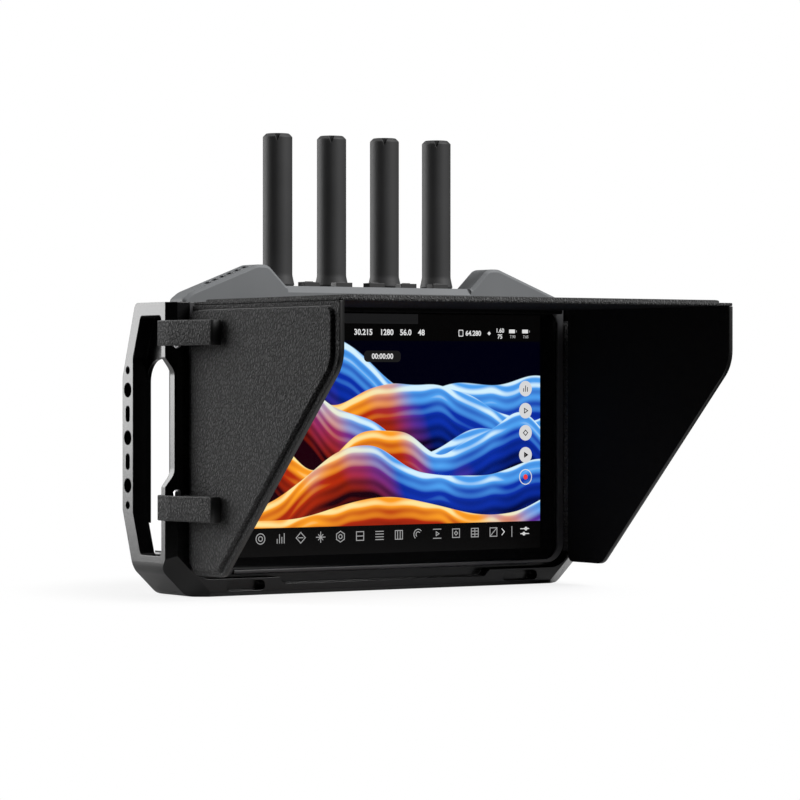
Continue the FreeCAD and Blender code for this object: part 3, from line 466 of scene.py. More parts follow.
# %% Glass
SMEAR = 14 * MM
gloss = Finish("cover_glass_black")
smear = gloss.noise(SMEAR, 3.0)
glass_black = gloss.surface(
    Base_Color=gloss.mix(smear, (0.003, 0.003, 0.0032), (0.005, 0.005, 0.0055)),
    Roughness=smear * 0.03 + 0.02,
    Specular_IOR_Level=0.4,
)
panel_dark = moulded("panel_dark", (0.02, 0.02, 0.03), 0.3)
print("glass ready")

# %% [markdown]
# ## Rigid pieces
# These pieces keep the shape that they have in the frame, so each only gets its finish. A table from finish
# to pieces is easier to check than a call for every piece.

# %% Finishes on the rigid pieces
RIGID = {
    cage_black: ("side_plate_left", "side_plate_right", "bottom_rail"),
    crown_grey: ("crown",),
    casing_black: ("rear_shell", "front_bezel"),
    glass_black: ("cover_glass",),
    panel_dark: ("display_panel",),
    sheet_bare: ("backlight_plate", "board_standoffs"),
    pin_bright: ("strap_pins",),
    screw_black: ("rail_screws", "side_screws", "crown_screws", "board_screws"),
    board_green: ("main_board", "rf_board", "button_board"),
    sink_bare: ("heat_sink",),
    fan_plastic: ("fan_housing", "fan_rotor"),
    contact_gold: ("antenna_connectors", "battery_contacts"),
    rod_rubber: ("antenna_1", "antenna_2", "antenna_3", "antenna_4"),
    key_plastic: ("button_1", "button_2", "button_3", "button_4", "button_5"),
    plate_plastic: ("battery_plate_left", "battery_plate_right"),
    catch_plastic: ("battery_catch_left", "battery_catch_right"),
    cover_rubber: ("port_cover",),
}
for finish, names in RIGID.items():
    for name in names:
        nodes[name].data.materials.clear()
        nodes[name].data.materials.append(finish)
print("finished", sum(len(names) for names in RIGID.values()), "rigid nodes")

# %% [markdown]
# ## Leather
# The hood is artificial leather over stiff board. Its grain is a field of small pebbles, a little longer
# than wide, with a crease round each. A Voronoi texture's distance to the nearest edge is that crease,
# and a bit of noise on its coordinates breaks the even cells. The colour is darker in the creases, as
# painted shade. The inside is a dull black lining, so that no light reaches the screen.

# %% Leather
PORE = 0.25 * MM
FOLDED_EDGE = 0.25 * MM
NAP = 0.35 * MM
NAP_DEPTH = 0.06 * MM
DRIFT_CELLS = 2.5


def pebbled(name, colour, cell, depth, tall):
    """Leather with pebbles of one size; tall below 1 draws them out upwards."""
    finish = Finish(name)
    drift = finish.noise(cell * DRIFT_CELLS, out="Color")
    moved = finish.add("ShaderNodeVectorMath", {"operation": "MULTIPLY_ADD"},
                       {0: drift, 1: (cell, cell, cell), 2: finish.place})
    drawn = finish.add("ShaderNodeMapping", None, {"Vector": moved, "Scale": (1.0, 1.0, tall)})
    crease = finish.add("ShaderNodeTexVoronoi", {"feature": "DISTANCE_TO_EDGE"},
                        {"Vector": drawn, "Scale": 1 / cell})
    pebble = finish.step(crease, 0.0, 0.3)
    pore = finish.noise(PORE)
    return finish.surface(
        # The colour is darker in the creases: painted shade, added to the shade that the bump makes there.
        Base_Color=finish.mix(pebble, shade(colour, 0.68), shade(colour, 1.1)),
        Roughness=0.8 - pebble * 0.16,
        Specular_IOR_Level=0.12,
        Normal=finish.bump(pebble + pore * 0.15, depth, FOLDED_EDGE),
    )


def dull_cloth(name, colour):
    finish = Finish(name)
    nap = finish.noise(NAP, 3.0)
    return finish.surface(
        Base_Color=finish.toned(nap, colour, 0.4),
        Roughness=0.95,
        Specular_IOR_Level=0.05,
        Normal=finish.bump(nap, NAP_DEPTH),
    )


HOOD_PEBBLE, HOOD_RELIEF = 1.0 * MM, 0.5 * MM
STRAP_PEBBLE, STRAP_RELIEF = 0.95 * MM, 0.6 * MM
hood_leather = pebbled("hood_leather", (0.061, 0.061, 0.0615), HOOD_PEBBLE, HOOD_RELIEF, 0.58)
strap_leather = pebbled("strap_leather", (0.082, 0.082, 0.0825), STRAP_PEBBLE, STRAP_RELIEF, 0.6)
hood_lining = dull_cloth("hood_lining", (0.006, 0.006, 0.006))
# Black edge paint for cut edges, also laid in the flap grooves as painted shade.
edge_paint_and_groove_shade = moulded("edge_paint_and_groove_shade", (0.004, 0.004, 0.004), 0.5)
print("leather ready")

# %% [markdown]
# ## Hood panels
# Each panel is a board wrapped in leather: a thin border, a fine groove, and a raised middle with soft
# shoulders. An extruded outline with a Bevel modifier would round every edge alike. Here the panel is
# skinned from loops instead: each loop is the outline moved in by its own distance on each side, at its own
# level, so the groove and the shoulder have their true section.

# %% Loops and skins
CORNER_STEPS = 7


def moved_in(corners, insets):
    """Corners of a flat outline after each side has moved inwards by its own distance."""
    count = len(corners)
    lines = []
    for i, start in enumerate(corners):
        along = (Vector(corners[(i + 1) % count]) - Vector(start)).normalized()
        inward = Vector((-along.y, along.x))
        lines.append((Vector(start) + inward * insets[i], along))
    result = []
    for i, (point, along) in enumerate(lines):
        other, other_along = lines[i - 1]
        cross = other_along.x * along.y - other_along.y * along.x
        gap = point - other
        reach = (gap.x * along.y - gap.y * along.x) / cross
        result.append(other + other_along * reach)
    return result


def rounded(corners, radii):
    """The outline's points, with an arc of the same number of points at every corner."""
    points = []
    count = len(corners)
    for i, corner in enumerate(corners):
        before = (corners[i - 1] - corner).normalized()
        after = (corners[(i + 1) % count] - corner).normalized()
        half = before.angle(after) / 2
        reach = radii[i] / math.tan(half)
        middle = corner + (before + after).normalized() * (radii[i] / math.sin(half))
        start = corner + before * reach - middle
        sweep = start.angle_signed(corner + after * reach - middle)
        for k in range(CORNER_STEPS + 1):
            turn = -sweep * k / CORNER_STEPS
            points.append(middle + Matrix.Rotation(turn, 2) @ start)
    return points


def skinned(bm, loops, materials):
    """Closes a stack of loops into a solid; materials are one for each band, then the first and last cap."""
    rings = [[bm.verts.new(point) for point in loop] for loop in loops]
    count = len(rings[0])
    for low, high, material in zip(rings, rings[1:], materials):
        for i in range(count):
            k = (i + 1) % count
            face = bm.faces.new((low[i], low[k], high[k], high[i]))
            face.material_index = material
            face.smooth = True
    for ring, material in ((rings[0][::-1], materials[-2]), (rings[-1], materials[-1])):
        bm.faces.new(ring).material_index = material


def finished(name, bm, finishes, body, slot, *replaced):
    """Makes the mesh a piece of the object, on its body and with its finishes. The slot is not used."""
    bmesh.ops.recalc_face_normals(bm, faces=bm.faces)
    mesh = bpy.data.meshes.new(name)
    bm.to_mesh(mesh)
    bm.free()
    for finish in finishes:
        mesh.materials.append(finish)
    piece = bpy.data.objects.new(name, mesh)
    scene.collection.objects.link(piece)
    if body:
        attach(piece, body)
    if replaced:
        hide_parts(*replaced)
    print(name, len(mesh.polygons), "faces")
    return piece


# %% [markdown]
# ## Side flaps
# A flap is a flat board with a slant at its lower front. Its table of layers runs from the lining out to
# the raised panel, and the two flaps differ only in how far the panel stays off the back edge.

# %% Flap outline
flap_low, flap_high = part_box("hood_flap_left")
top_low, top_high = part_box("hood_top_panel")
BOARD_T = 2.05 * MM
FLAP_FOOT = 22.3 * MM
FLAP_FRONT = 22.3 * MM
SOFT = 0.3 * MM
SEAM = 0.05 * MM
GROOVE = 0.35 * MM
LEATHER, LINING, PAINT_AND_SHADE = range(3)
HOOD_FINISHES = (hood_leather, hood_lining, edge_paint_and_groove_shade)
flap_t = flap_high.x - flap_low.x
flap_top = top_low.z - SEAM
# Sides run: back, top, front, slant, bottom. Each corner is the start of its side.
flap_corners = [
    Vector((flap_high.y, flap_low.z)),
    Vector((flap_high.y, flap_top)),
    Vector((flap_low.y, flap_top)),
    Vector((flap_low.y, flap_high.z - FLAP_FRONT)),
    Vector((flap_high.y - FLAP_FOOT, flap_low.z)),
]
BOARD_IN = (0.0,) * len(flap_corners)
BOARD_ROUNDS = (3 * MM, SOFT, SOFT, 14 * MM, 6 * MM)
PANEL_ROUNDS = (3.5 * MM, 3.5 * MM, 3.5 * MM, 10 * MM, 4.5 * MM)
PANEL_BACK = {"left": 0.7 * MM, "right": 2.4 * MM}
PANEL_IN = (2.0 * MM, 3.7 * MM, 2.8 * MM, 2.1 * MM)
SHOULDER = 0.25 * MM
print("flap", round(flap_t / MM, 2), "mm thick")

# %% Side flaps
def flap_section(back):
    """Layers from the lining outwards: insets, extra inset, corner rounds, level, finish up to it."""
    panel = (back, *PANEL_IN)
    return (
        (BOARD_IN, 0.0, BOARD_ROUNDS, 0.0, LINING),
        (BOARD_IN, 0.0, BOARD_ROUNDS, BOARD_T - SOFT, PAINT_AND_SHADE),
        (BOARD_IN, SOFT / 3, BOARD_ROUNDS, BOARD_T - SOFT / 3, PAINT_AND_SHADE),
        (BOARD_IN, SOFT, BOARD_ROUNDS, BOARD_T, LEATHER),
        (panel, -2 * SOFT, PANEL_ROUNDS, BOARD_T, LEATHER),
        # The groove's outer wall and floor take the black edge paint: painted shade in the groove.
        (panel, -SOFT, PANEL_ROUNDS, BOARD_T - GROOVE, PAINT_AND_SHADE),
        (panel, -SOFT / 3, PANEL_ROUNDS, BOARD_T - GROOVE, PAINT_AND_SHADE),
        (panel, 0.0, PANEL_ROUNDS, flap_t - 2 * SHOULDER, LEATHER),
        (panel, SHOULDER / 2, PANEL_ROUNDS, flap_t - SHOULDER / 2, LEATHER),
        (panel, SHOULDER * 2, PANEL_ROUNDS, flap_t, LEATHER),
    )


def flap_loop(side, insets, extra, rounds, level):
    sides = [inset + extra for inset in insets]
    soft = [max(radius - extra, SOFT) for radius in rounds]
    x = side * (abs(flap_high.x) + level)
    return [Vector((x, point.x, point.y)) for point in rounded(moved_in(flap_corners, sides), soft)]


for side, word in ((-1, "left"), (1, "right")):
    layers = flap_section(PANEL_BACK[word])
    loops = [flap_loop(side, *layer[:-1]) for layer in layers]
    bands = [layer[-1] for layer in layers[1:]]
    bm = bmesh.new()
    skinned(bm, loops, bands + [LINING, LEATHER])
    finished("flap_panel_" + word, bm, HOOD_FINISHES, "flap_" + word, "hood_leather", "hood_flap_" + word)

# %% [markdown]
# ## Top panel
# The roof of the hood is wrapped in the same way: a thin flange along the sides rests on the flaps, and the
# board stands up between them. Its loops lie flat, one above the other.

# %% Top panel
FLANGE_T = 1.2 * MM
FLANGE_W = 4.7 * MM
TOP_ROUNDS = (0.6 * MM, 1.5 * MM, 1.5 * MM, 0.6 * MM)
TOP_RAISED = (0.8 * MM, FLANGE_W, 2.0 * MM, FLANGE_W)
top_t = top_high.z - top_low.z
top_corners = [
    Vector((top_high.x, top_high.y)),
    Vector((top_low.x, top_high.y)),
    Vector((top_low.x, top_low.y)),
    Vector((top_high.x, top_low.y)),
]
NO_INSET = (0.0,) * len(top_corners)
TOP_SECTION = (
    # insets of the sides, extra inset, level
    (NO_INSET, SOFT, 0.0),
    (NO_INSET, 0.0, SOFT),
    (NO_INSET, 0.0, FLANGE_T - SOFT),
    (NO_INSET, SOFT, FLANGE_T),
    (TOP_RAISED, -2 * SOFT, FLANGE_T),
    (TOP_RAISED, -SOFT, FLANGE_T - GROOVE),
    (TOP_RAISED, 0.0, FLANGE_T - GROOVE),
    (TOP_RAISED, SOFT / 2, top_t - 1.5 * SOFT),
    (TOP_RAISED, SOFT * 1.5, top_t - SOFT / 2),
    (TOP_RAISED, SOFT * 4, top_t),
)


def top_loop(insets, extra, level):
    sides = [inset + extra for inset in insets]
    soft = [max(radius - extra, SOFT) for radius in TOP_ROUNDS]
    flat = rounded(moved_in(top_corners, sides), soft)
    return [Vector((point.x, point.y, top_low.z + level)) for point in flat]


bm = bmesh.new()
loops = [top_loop(*layer) for layer in TOP_SECTION]
skinned(bm, loops, [LEATHER] * (len(loops) - 1) + [LINING, LEATHER])
finished("top_panel", bm, HOOD_FINISHES, "hood_top", "hood_leather", "hood_top_panel")

# %% [markdown]
# ## Hood strip
# A leather strip along the top of the screen is where the top panel is sewn on. It is a long rounded bar,
# skinned from loops as the panels are.

# %% Hood strip
strip_low, strip_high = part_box("hood_strip")
strip_corners = [
    Vector((strip_low.y, strip_low.z)),
    Vector((strip_high.y, strip_low.z)),
    Vector((strip_high.y, strip_high.z)),
    Vector((strip_low.y, strip_high.z)),
]
STRIP_ROUND = 0.8 * MM
STRIP_ENDS = (
    (strip_low.x, SOFT),
    (strip_low.x + SOFT, 0.0),
    (strip_high.x - SOFT, 0.0),
    (strip_high.x, SOFT),
)
bm = bmesh.new()
loops = []
for x, inset in STRIP_ENDS:
    sides = len(strip_corners)
    flat = rounded(moved_in(strip_corners, [inset] * sides), [STRIP_ROUND - inset] * sides)
    loops.append([Vector((x, point.x, point.y)) for point in flat])
skinned(bm, loops, [LINING] * (len(loops) + 1))
finished("strip_sewn", bm, HOOD_FINISHES, "cage", "hood_leather", "hood_strip")

# %% [markdown]
# ## Flap hinges
# A flap has no metal hinge: its leather runs on past the board's edge into the cage, and folds there. That
# is a thin tall band between the cage and the flap. It is skinned like the panels, in steps along its path.

# %% Flap hinges
HINGE_T = 0.4 * MM
HINGE_SHORT = 4 * MM
# Points along the band as (y, outer x) in millimetres, from inside the cage to the flap's back edge.
HINGE_LINE = ((-8.0, 89.1), (-9.4, 89.25), (-10.8, 89.4), (-12.2, 89.55), (-13.4, 89.7), (-14.4, 89.9))


def flap_hinge(name, side):
    low, high = flap_low.z + HINGE_SHORT, flap_high.z - HINGE_SHORT
    loops = []
    for y, x in HINGE_LINE:
        outer, inner = x * MM, x * MM - HINGE_T
        flat = ((outer, low), (outer, high), (inner, high), (inner, low))
        loops.append([Vector((side * across, y * MM, up)) for across, up in flat])
    bm = bmesh.new()
    skinned(bm, loops, [LEATHER] * (len(loops) + 1))
    piece = finished(name, bm, HOOD_FINISHES, None, "hood_leather")
    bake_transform(piece)


for side, word in ((-1, "left"), (1, "right")):
    flap_hinge("flap_hinge_" + word, side)

# %% [markdown]
# ## Straps
# Four leather loops tie the flaps to the cage's front columns: each runs round a column and out along the
# flap, where its two layers end in a black edge-painted nose. A strap is a flat band, so a small rounded
# section is carried along a closed path.

# %% Strap path
STRAP_T = 1.2 * MM
STRAP_HALF = STRAP_T / 2
STRAP_NOSE = 4.2 * MM
STRAP_TURN = 1.1 * MM
STRAP_SHARP = 0.02 * MM
STRAP_LIFT = 0.55 * MM
STRAP_LEG_Y = -13.5 * MM
STRAP_INSIDE_X = 91.5 * MM
RUN_STEP = 1.6 * MM
arm_x = abs(flap_low.x) + STRAP_LIFT


def even_steps(points, step):
    """The closed line's points, with more added along its straight runs."""
    result = []
    for a, b in zip(points, points[1:] + points[:1]):
        parts = max(1, round((b - a).length / step))
        result += [a.lerp(b, k / parts) for k in range(parts)]
    return result


def strap_middle(low, high):
    """Points of a right strap's closed middle line: its loop, its arm and its slanted nose."""
    outer_x = max(abs(low.x), abs(high.x))
    # Each corner with the round of its bend. The two on the flap's side are sharp.
    bends = (
        ((STRAP_INSIDE_X, high.y), STRAP_TURN),
        ((STRAP_INSIDE_X, STRAP_LEG_Y), STRAP_TURN),
        ((arm_x, STRAP_LEG_Y), STRAP_SHARP),
        ((arm_x, low.y), STRAP_SHARP),
        ((arm_x + STRAP_NOSE, low.y), STRAP_TURN),
        ((outer_x, STRAP_LEG_Y), STRAP_TURN),
        ((outer_x, high.y), STRAP_TURN),
    )
    line = moved_in([Vector(corner) for corner, turn in bends], [STRAP_HALF] * len(bends))
    return even_steps(rounded(line, [turn for corner, turn in bends]), RUN_STEP)


run = strap_middle(*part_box("strap_left_upper"))
run_length = sum((b - a).length for a, b in zip(run, run[1:] + run[:1]))
print("strap", round(run_length / MM, 1), "mm round its middle line")

# %% Straps
STRAP_EDGE = 0.28 * MM
STRAP_FINISHES = (strap_leather, hood_lining, edge_paint_and_groove_shade)


def strap_section(tall):
    """The flat band's section with its long edges broken, as (out, up). Its first side is the outer face."""
    flat = STRAP_HALF - STRAP_EDGE
    edge = tall - STRAP_EDGE
    right = [(STRAP_HALF, -edge), (STRAP_HALF, edge), (flat, tall), (-flat, tall)]
    return right + [(-out, -up) for out, up in right]


def strap(name, node, side):
    low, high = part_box(node)
    middle = strap_middle(low, high)
    section = strap_section((high.z - low.z) / 2)
    centre_z = (high.z + low.z) / 2
    bm = bmesh.new()
    rings = []
    for i, point in enumerate(middle):
        along = (middle[(i + 1) % len(middle)] - middle[i - 1]).normalized()
        outward = Vector((along.y, -along.x))
        flat = [(point + outward * out, centre_z + up) for out, up in section]
        rings.append([bm.verts.new((side * spot.x, spot.y, z)) for spot, z in flat])
    for i, here in enumerate(rings):
        after = rings[(i + 1) % len(rings)]
        nose = max(middle[i].y, middle[(i + 1) % len(middle)].y) < low.y + STRAP_T
        for k in range(len(section)):
            n = (k + 1) % len(section)
            face = bm.faces.new((here[k], here[n], after[n], after[k]))
            face.material_index = PAINT_AND_SHADE if k != 0 or nose else LEATHER
            face.smooth = True
    piece = finished(name, bm, STRAP_FINISHES, None, "strap_leather", node)
    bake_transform(piece)


for side, word in ((-1, "left"), (1, "right")):
    for level in ("lower", "upper"):
        strap("strap_%s_%s_band" % (word, level), "strap_%s_%s" % (word, level), side)

# %% [markdown]
# ## Lit picture
# A screen that is on gives its own light, so its picture is an emission colour. The picture is a made-up
# landscape: rows of dunes, lit orange from the left and blue from the right, under a black sky. Each dune
# is a line of noise across the screen, and the colour below that line runs down a ramp from a bright crest
# into the dark.

# %% Picture values
LIT_X = 76.7 * MM
LIT_LOW, LIT_HIGH = 14.4 * MM, 108.6 * MM
PICTURE_LOW, PICTURE_HIGH = 25.4 * MM, 98.0 * MM
glass_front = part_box("cover_glass")[0].y
FILM = 0.03 * MM
WARM = (
    (0.0, (1.0, 0.78, 0.32)),
    (0.12, (1.0, 0.36, 0.02)),
    (0.45, (0.45, 0.025, 0.004)),
    (1.0, (0.012, 0.0, 0.003)),
)
COLD = (
    (0.0, (0.66, 0.88, 1.0)),
    (0.12, (0.08, 0.36, 0.88)),
    (0.45, (0.004, 0.03, 0.4)),
    (1.0, (0.0, 0.0, 0.012)),
)
NIGHT = (0.0, 0.0, 0.004)
BAR_BLACK = (0.0015, 0.0014, 0.0014)
DUNES = (
    # crest, fall to the right, swell, bends, seed, where warm turns cold, reach of the glow
    (0.94, 0.62, 0.26, 2.2, 11.3, 0.22, 0.50),
    (0.76, 0.42, 0.36, 2.6, 4.7, 0.52, 0.36),
    (0.58, 0.20, 0.40, 2.1, 27.1, 0.36, 0.34),
    (0.42, 0.04, 0.36, 2.9, 35.9, 0.60, 0.30),
    (0.26, -0.06, 0.32, 2.4, 52.4, 0.42, 0.28),
    (0.09, -0.14, 0.24, 2.0, 61.7, 0.86, 0.26),
)
STRATA = 95.0
STRATA_BEND = 15.0
STRATA_DEPTH = 0.1
GRAIN_SCALE = 40.0
CREST_SOFT = 0.012
TURN_SOFT = 0.1
TURN_WANDER = 0.3
TURN_LEAN = 0.12
EDGE_SOFT = 0.001
print("dunes", len(DUNES))


# %% Lit picture
def dune_picture():
    """Lays the dunes over each other from the farthest to the nearest."""
    ink = Finish("lit_picture")
    parts = [ink.add("ShaderNodeSeparateXYZ", None, {0: ink.place}, out=axis) for axis in ("X", "Z")]
    across = (parts[0] + LIT_X) / (2 * LIT_X)
    up = (parts[1] - PICTURE_LOW) / (PICTURE_HIGH - PICTURE_LOW)
    grain = ink.add("ShaderNodeTexNoise", {"noise_dimensions": "2D"},
                    {"Vector": ink.place, "Scale": GRAIN_SCALE, "Detail": 1.0})
    colour = NIGHT
    for crest, tilt, swell, bends, seed, turn, reach in DUNES:
        line = ink.add("ShaderNodeTexNoise", {"noise_dimensions": "1D"},
                       {"W": across * bends + seed, "Scale": 1.0, "Detail": 0.6})
        ridge = (line - 0.5) * (swell * 2) + crest - (across - 0.5) * tilt
        depth = (ridge - up) / reach
        wave = depth * (reach * STRATA) + grain * STRATA_BEND
        fall = depth + wave.join("SINE", wave, 0.0) * STRATA_DEPTH
        warm = ink.add("ShaderNodeValToRGB", {"stops": WARM}, {"Fac": fall})
        cold = ink.add("ShaderNodeValToRGB", {"stops": COLD}, {"Fac": fall})
        place = across + (grain - 0.5) * TURN_WANDER - depth * TURN_LEAN
        side = ink.step(place, turn - TURN_SOFT, turn + TURN_SOFT)
        colour = ink.mix(ink.step(depth, 0.0, CREST_SOFT), colour, ink.mix(side, warm, cold))
    inside = ink.step(up, -EDGE_SOFT, EDGE_SOFT) * ink.step(up, 1 + EDGE_SOFT, 1 - EDGE_SOFT)
    shown = ink.mix(inside, BAR_BLACK, colour)
    return ink.surface(Base_Color=(0.003, 0.003, 0.003, 1.0), Roughness=0.25, Specular_IOR_Level=0.12,
                       Emission_Color=shown, Emission_Strength=1.0)


def film_plate(bm, corners, level, material=0):
    """A very thin closed plate, its front this far before the glass, from flat (x, z) corners."""
    y = glass_front - level
    rings = [[bm.verts.new((x, y + back, z)) for x, z in corners] for back in (0.0, FILM)]
    count = len(corners)
    made = [bm.faces.new(rings[0]), bm.faces.new(rings[1][::-1])]
    for i in range(count):
        k = (i + 1) % count
        made.append(bm.faces.new((rings[0][i], rings[1][i], rings[1][k], rings[0][k])))
    for face in made:
        face.material_index = material


bm = bmesh.new()
film_plate(bm, [(-LIT_X, LIT_LOW), (LIT_X, LIT_LOW), (LIT_X, LIT_HIGH), (-LIT_X, LIT_HIGH)], FILM)
finished("lit_screen", bm, (dune_picture(),), "cage", "display")

# %% [markdown]
# ## Figures and icons on the screen
# A black bar above the picture holds small figures, a row of plain icons runs below it, and five round keys
# stand at its right. Figures come from Blender's own font, turned into a mesh. An icon is a few strokes,
# and each stroke is a chain of thin plates. The round keys repeat, so a Geometry Nodes row places them.

# %% Glowing inks
FLECK = 0.4 * MM


def glowing(name, colour, level):
    ink = Finish(name)
    fleck = ink.noise(FLECK)
    tone = ink.mix(fleck, shade(colour, level * 0.92), shade(colour, level))
    return ink.surface(Base_Color=(0.01, 0.01, 0.01, 1.0), Roughness=0.4, Specular_IOR_Level=0.1,
                       Emission_Color=tone, Emission_Strength=1.0)


ink_white = glowing("ink_white", (0.9, 0.9, 0.9), 0.85)
ink_grey = glowing("ink_grey", (0.5, 0.5, 0.5), 0.7)
# Dark ink for the plates and marks; the wide plate along the top of the screen uses it as a painted
# reflection.
ink_dark_and_painted_reflection = glowing("ink_dark_and_painted_reflection", (0.02, 0.02, 0.021), 0.5)
ink_red = glowing("ink_red", (0.85, 0.05, 0.05), 1.0)
ink_key = glowing("ink_key", (0.78, 0.78, 0.79), 0.9)
INKS = (ink_white, ink_grey, ink_dark_and_painted_reflection, ink_red)
WHITE, GREY, DARK, RED = range(len(INKS))
print("inks", len(INKS))

# %% Figures
BOLD = 0.022
CURVE_STEPS = 3
PLATE_LEVEL = 2.2 * FILM
STROKE_LEVEL = 3 * FILM
INSET_LEVEL = 3.3 * FILM
FIGURE_LEVEL = 3.5 * FILM
MARK_LEVEL = 4 * FILM


def figures(bm, text, size, x, z, material=WHITE):
    """Adds figures about a middle point, made plain from Blender's text."""
    letters = bpy.data.curves.new("figures", "FONT")
    letters.body, letters.size = text, size
    letters.align_x = letters.align_y = "CENTER"
    letters.extrude = FILM / 2
    letters.offset = size * BOLD
    letters.resolution_u = CURVE_STEPS
    holder = bpy.data.objects.new("figures", letters)
    scene.collection.objects.link(holder)
    bpy.context.view_layer.update()
    mesh = bpy.data.meshes.new_from_object(holder.evaluated_get(bpy.context.evaluated_depsgraph_get()))
    place = Matrix.Translation((x, glass_front - FIGURE_LEVEL, z))
    mesh.transform(place @ Matrix.Rotation(math.radians(90), 4, "X"))
    first = len(bm.faces)
    bm.from_mesh(mesh)
    bm.faces.ensure_lookup_table()
    for face in bm.faces[first:]:
        face.material_index = material
    bpy.data.objects.remove(holder)


def ring_line(radius, sides=20, start=0.0, x=0.0, z=0.0, share=1.0):
    """Points of a regular ring, or of a share of it, as a line that ends where it began."""
    count = int(sides * share)
    turns = [start + 2 * math.pi * k / sides for k in range(count + 1)]
    return [(x + radius * math.cos(turn), z + radius * math.sin(turn)) for turn in turns]


def rounded_box(x, z, wide, high, radius):
    """Corners of a rounded box about a middle point, all in millimetres."""
    ends = ((-1, -1), (1, -1), (1, 1), (-1, 1))
    flat = [Vector((x + a * wide / 2, z + b * high / 2)) * MM for a, b in ends]
    return [(point.x, point.y) for point in rounded(flat, [radius * MM] * len(flat))]


print("figure levels up to", round(MARK_LEVEL / MM, 2), "mm")

# %% [markdown]
# ## Status bar
# Small figures, two battery marks and a card mark stand on black. One table holds the figures and another
# the plates, so that a place is changed in one line.

# %% Status bar
FIGURES = (
    # figures, height, middle x and z in millimetres, ink
    ("00:00:00", 2.95, 0.0, 91.75, WHITE),
    ("30.215", 3.2, -9.0, 101.2, WHITE),
    ("1280", 3.2, 2.0, 101.2, WHITE),
    ("56.0", 3.2, 11.0, 101.2, WHITE),
    ("48", 3.2, 18.5, 101.2, WHITE),
    ("64.280", 2.8, 43.6, 101.1, WHITE),
    ("1.60", 2.4, 56.7, 102.3, WHITE),
    ("75", 2.4, 56.7, 99.9, WHITE),
    ("7.90", 1.6, 63.0, 99.9, GREY),
    ("7.65", 1.6, 69.5, 99.9, GREY),
)
PLATES = (
    # middle x and z, width, height and corner round in millimetres, level, ink
    (0.0, 91.8, 17.4, 4.5, 1.8, PLATE_LEVEL, DARK),
    (62.7, 102.1, 2.9, 1.5, 0.2, PLATE_LEVEL, WHITE),
    (64.9, 102.1, 0.25, 0.8, 0.1, PLATE_LEVEL, GREY),
    (69.2, 102.1, 2.9, 1.5, 0.2, PLATE_LEVEL, WHITE),
    (71.4, 102.1, 0.25, 0.8, 0.1, PLATE_LEVEL, GREY),
    (37.6, 101.2, 2.3, 2.7, 0.4, PLATE_LEVEL, WHITE),
    (37.6, 101.2, 1.7, 2.1, 0.4, INSET_LEVEL, DARK),
    # A painted reflection: a faint grey band along the top of the glass, drawn as a dim glowing plate.
    (-21.5, 106.6, 76.8, 3.9, 0.3, PLATE_LEVEL, DARK),
)
LINK_X, LINK_Z, LINK_R = 51.4 * MM, 101.2 * MM, 0.8 * MM
bm = bmesh.new()
for words, size, x, z, ink in FIGURES:
    figures(bm, words, size * MM, x * MM, z * MM, ink)
for *box, level, ink in PLATES:
    film_plate(bm, rounded_box(*box), level, ink)
film_plate(bm, ring_line(LINK_R, 4, 0.0, LINK_X, LINK_Z)[:-1], PLATE_LEVEL, WHITE)
finished("screen_figures", bm, INKS, "cage", "display")

# %% [markdown]
# ## Icons
# The icons are plain marks of one stroke width: rings, bars and crosses, as shares of one icon's size. A
# font of icons would be quicker, but its shapes belong to someone, so each mark is drawn here.

# %% Strokes
STROKE = 0.34 * MM
BAR_HALF_SHARE = 0.8
BAR_FOOT_SHARE = 0.9


def stroke(bm, points, x, z, size, level=STROKE_LEVEL, material=GREY):
    """Draws a chain of thin plates through the points, which are shares of the size about a middle."""
    flat = [Vector((x + a * size, z + b * size)) for a, b in points]
    for a, b in zip(flat, flat[1:]):
        along = (b - a).normalized() * (STROKE / 2)
        across = Vector((-along.y, along.x))
        ends = [a - along - across, b + along - across, b + along + across, a - along + across]
        film_plate(bm, [(p.x, p.y) for p in ends], level, material)


def bars(heights):
    """Upright strokes side by side, from one foot line."""
    pitch = 2 * BAR_HALF_SHARE / (len(heights) - 1)
    result = []
    for i, height in enumerate(heights):
        x = pitch * i - BAR_HALF_SHARE
        result.append([(x, -BAR_FOOT_SHARE), (x, BAR_FOOT_SHARE * (2 * height - 1))])
    return result


print("stroke", round(STROKE / MM, 2), "mm wide")

# %% Icons
ICON_R = 2.0 * MM
ICON_Z = 21.35 * MM
SQUARE = ring_line(1.2, 4, math.pi / 4)
HEXAGON = ring_line(1.05, 6, math.pi / 6)
ICONS = (
    [ring_line(1.0, 3), [(0, -0.3), (0, 0.4)]],
    [ring_line(1.0), ring_line(0.45, 12)],
    bars((0.4, 0.9, 0.6, 1.0)),
    [ring_line(1.05, 4), [(-0.5, 0), (0.5, 0)]],
    [[(-1, 0), (1, 0)], [(0, -1), (0, 1)], [(-0.5, -0.5), (0.5, 0.5)], [(-0.5, 0.5), (0.5, -0.5)]],
    [HEXAGON, ring_line(0.4, 10)],
    [SQUARE, [(-0.85, 0), (0.85, 0)]],
    [[(-0.9, h), (0.9, h)] for h in (-0.8, -0.27, 0.27, 0.8)],
    [SQUARE, [(-0.3, -0.85), (-0.3, 0.85)], [(0.3, -0.85), (0.3, 0.85)]],
    [ring_line(1.0, 20, math.pi / 4, share=0.5), ring_line(0.5, 12, math.pi / 4, share=0.5)],
    [[(-0.9, 0.9), (0.9, 0.9)], [(-0.9, -0.9), (0.9, -0.9)], ring_line(0.45, 3)],
    [SQUARE, ring_line(0.4, 4)],
    [SQUARE, [(-0.85, -0.3), (0.85, -0.3)], [(-0.85, 0.3), (0.85, 0.3)], [(0, -0.85), (0, 0.85)]],
    [SQUARE, [(-0.8, -0.8), (0.8, 0.8)]],
)
ICON_FIRST, ICON_PITCH = -65.4 * MM, 9.147 * MM
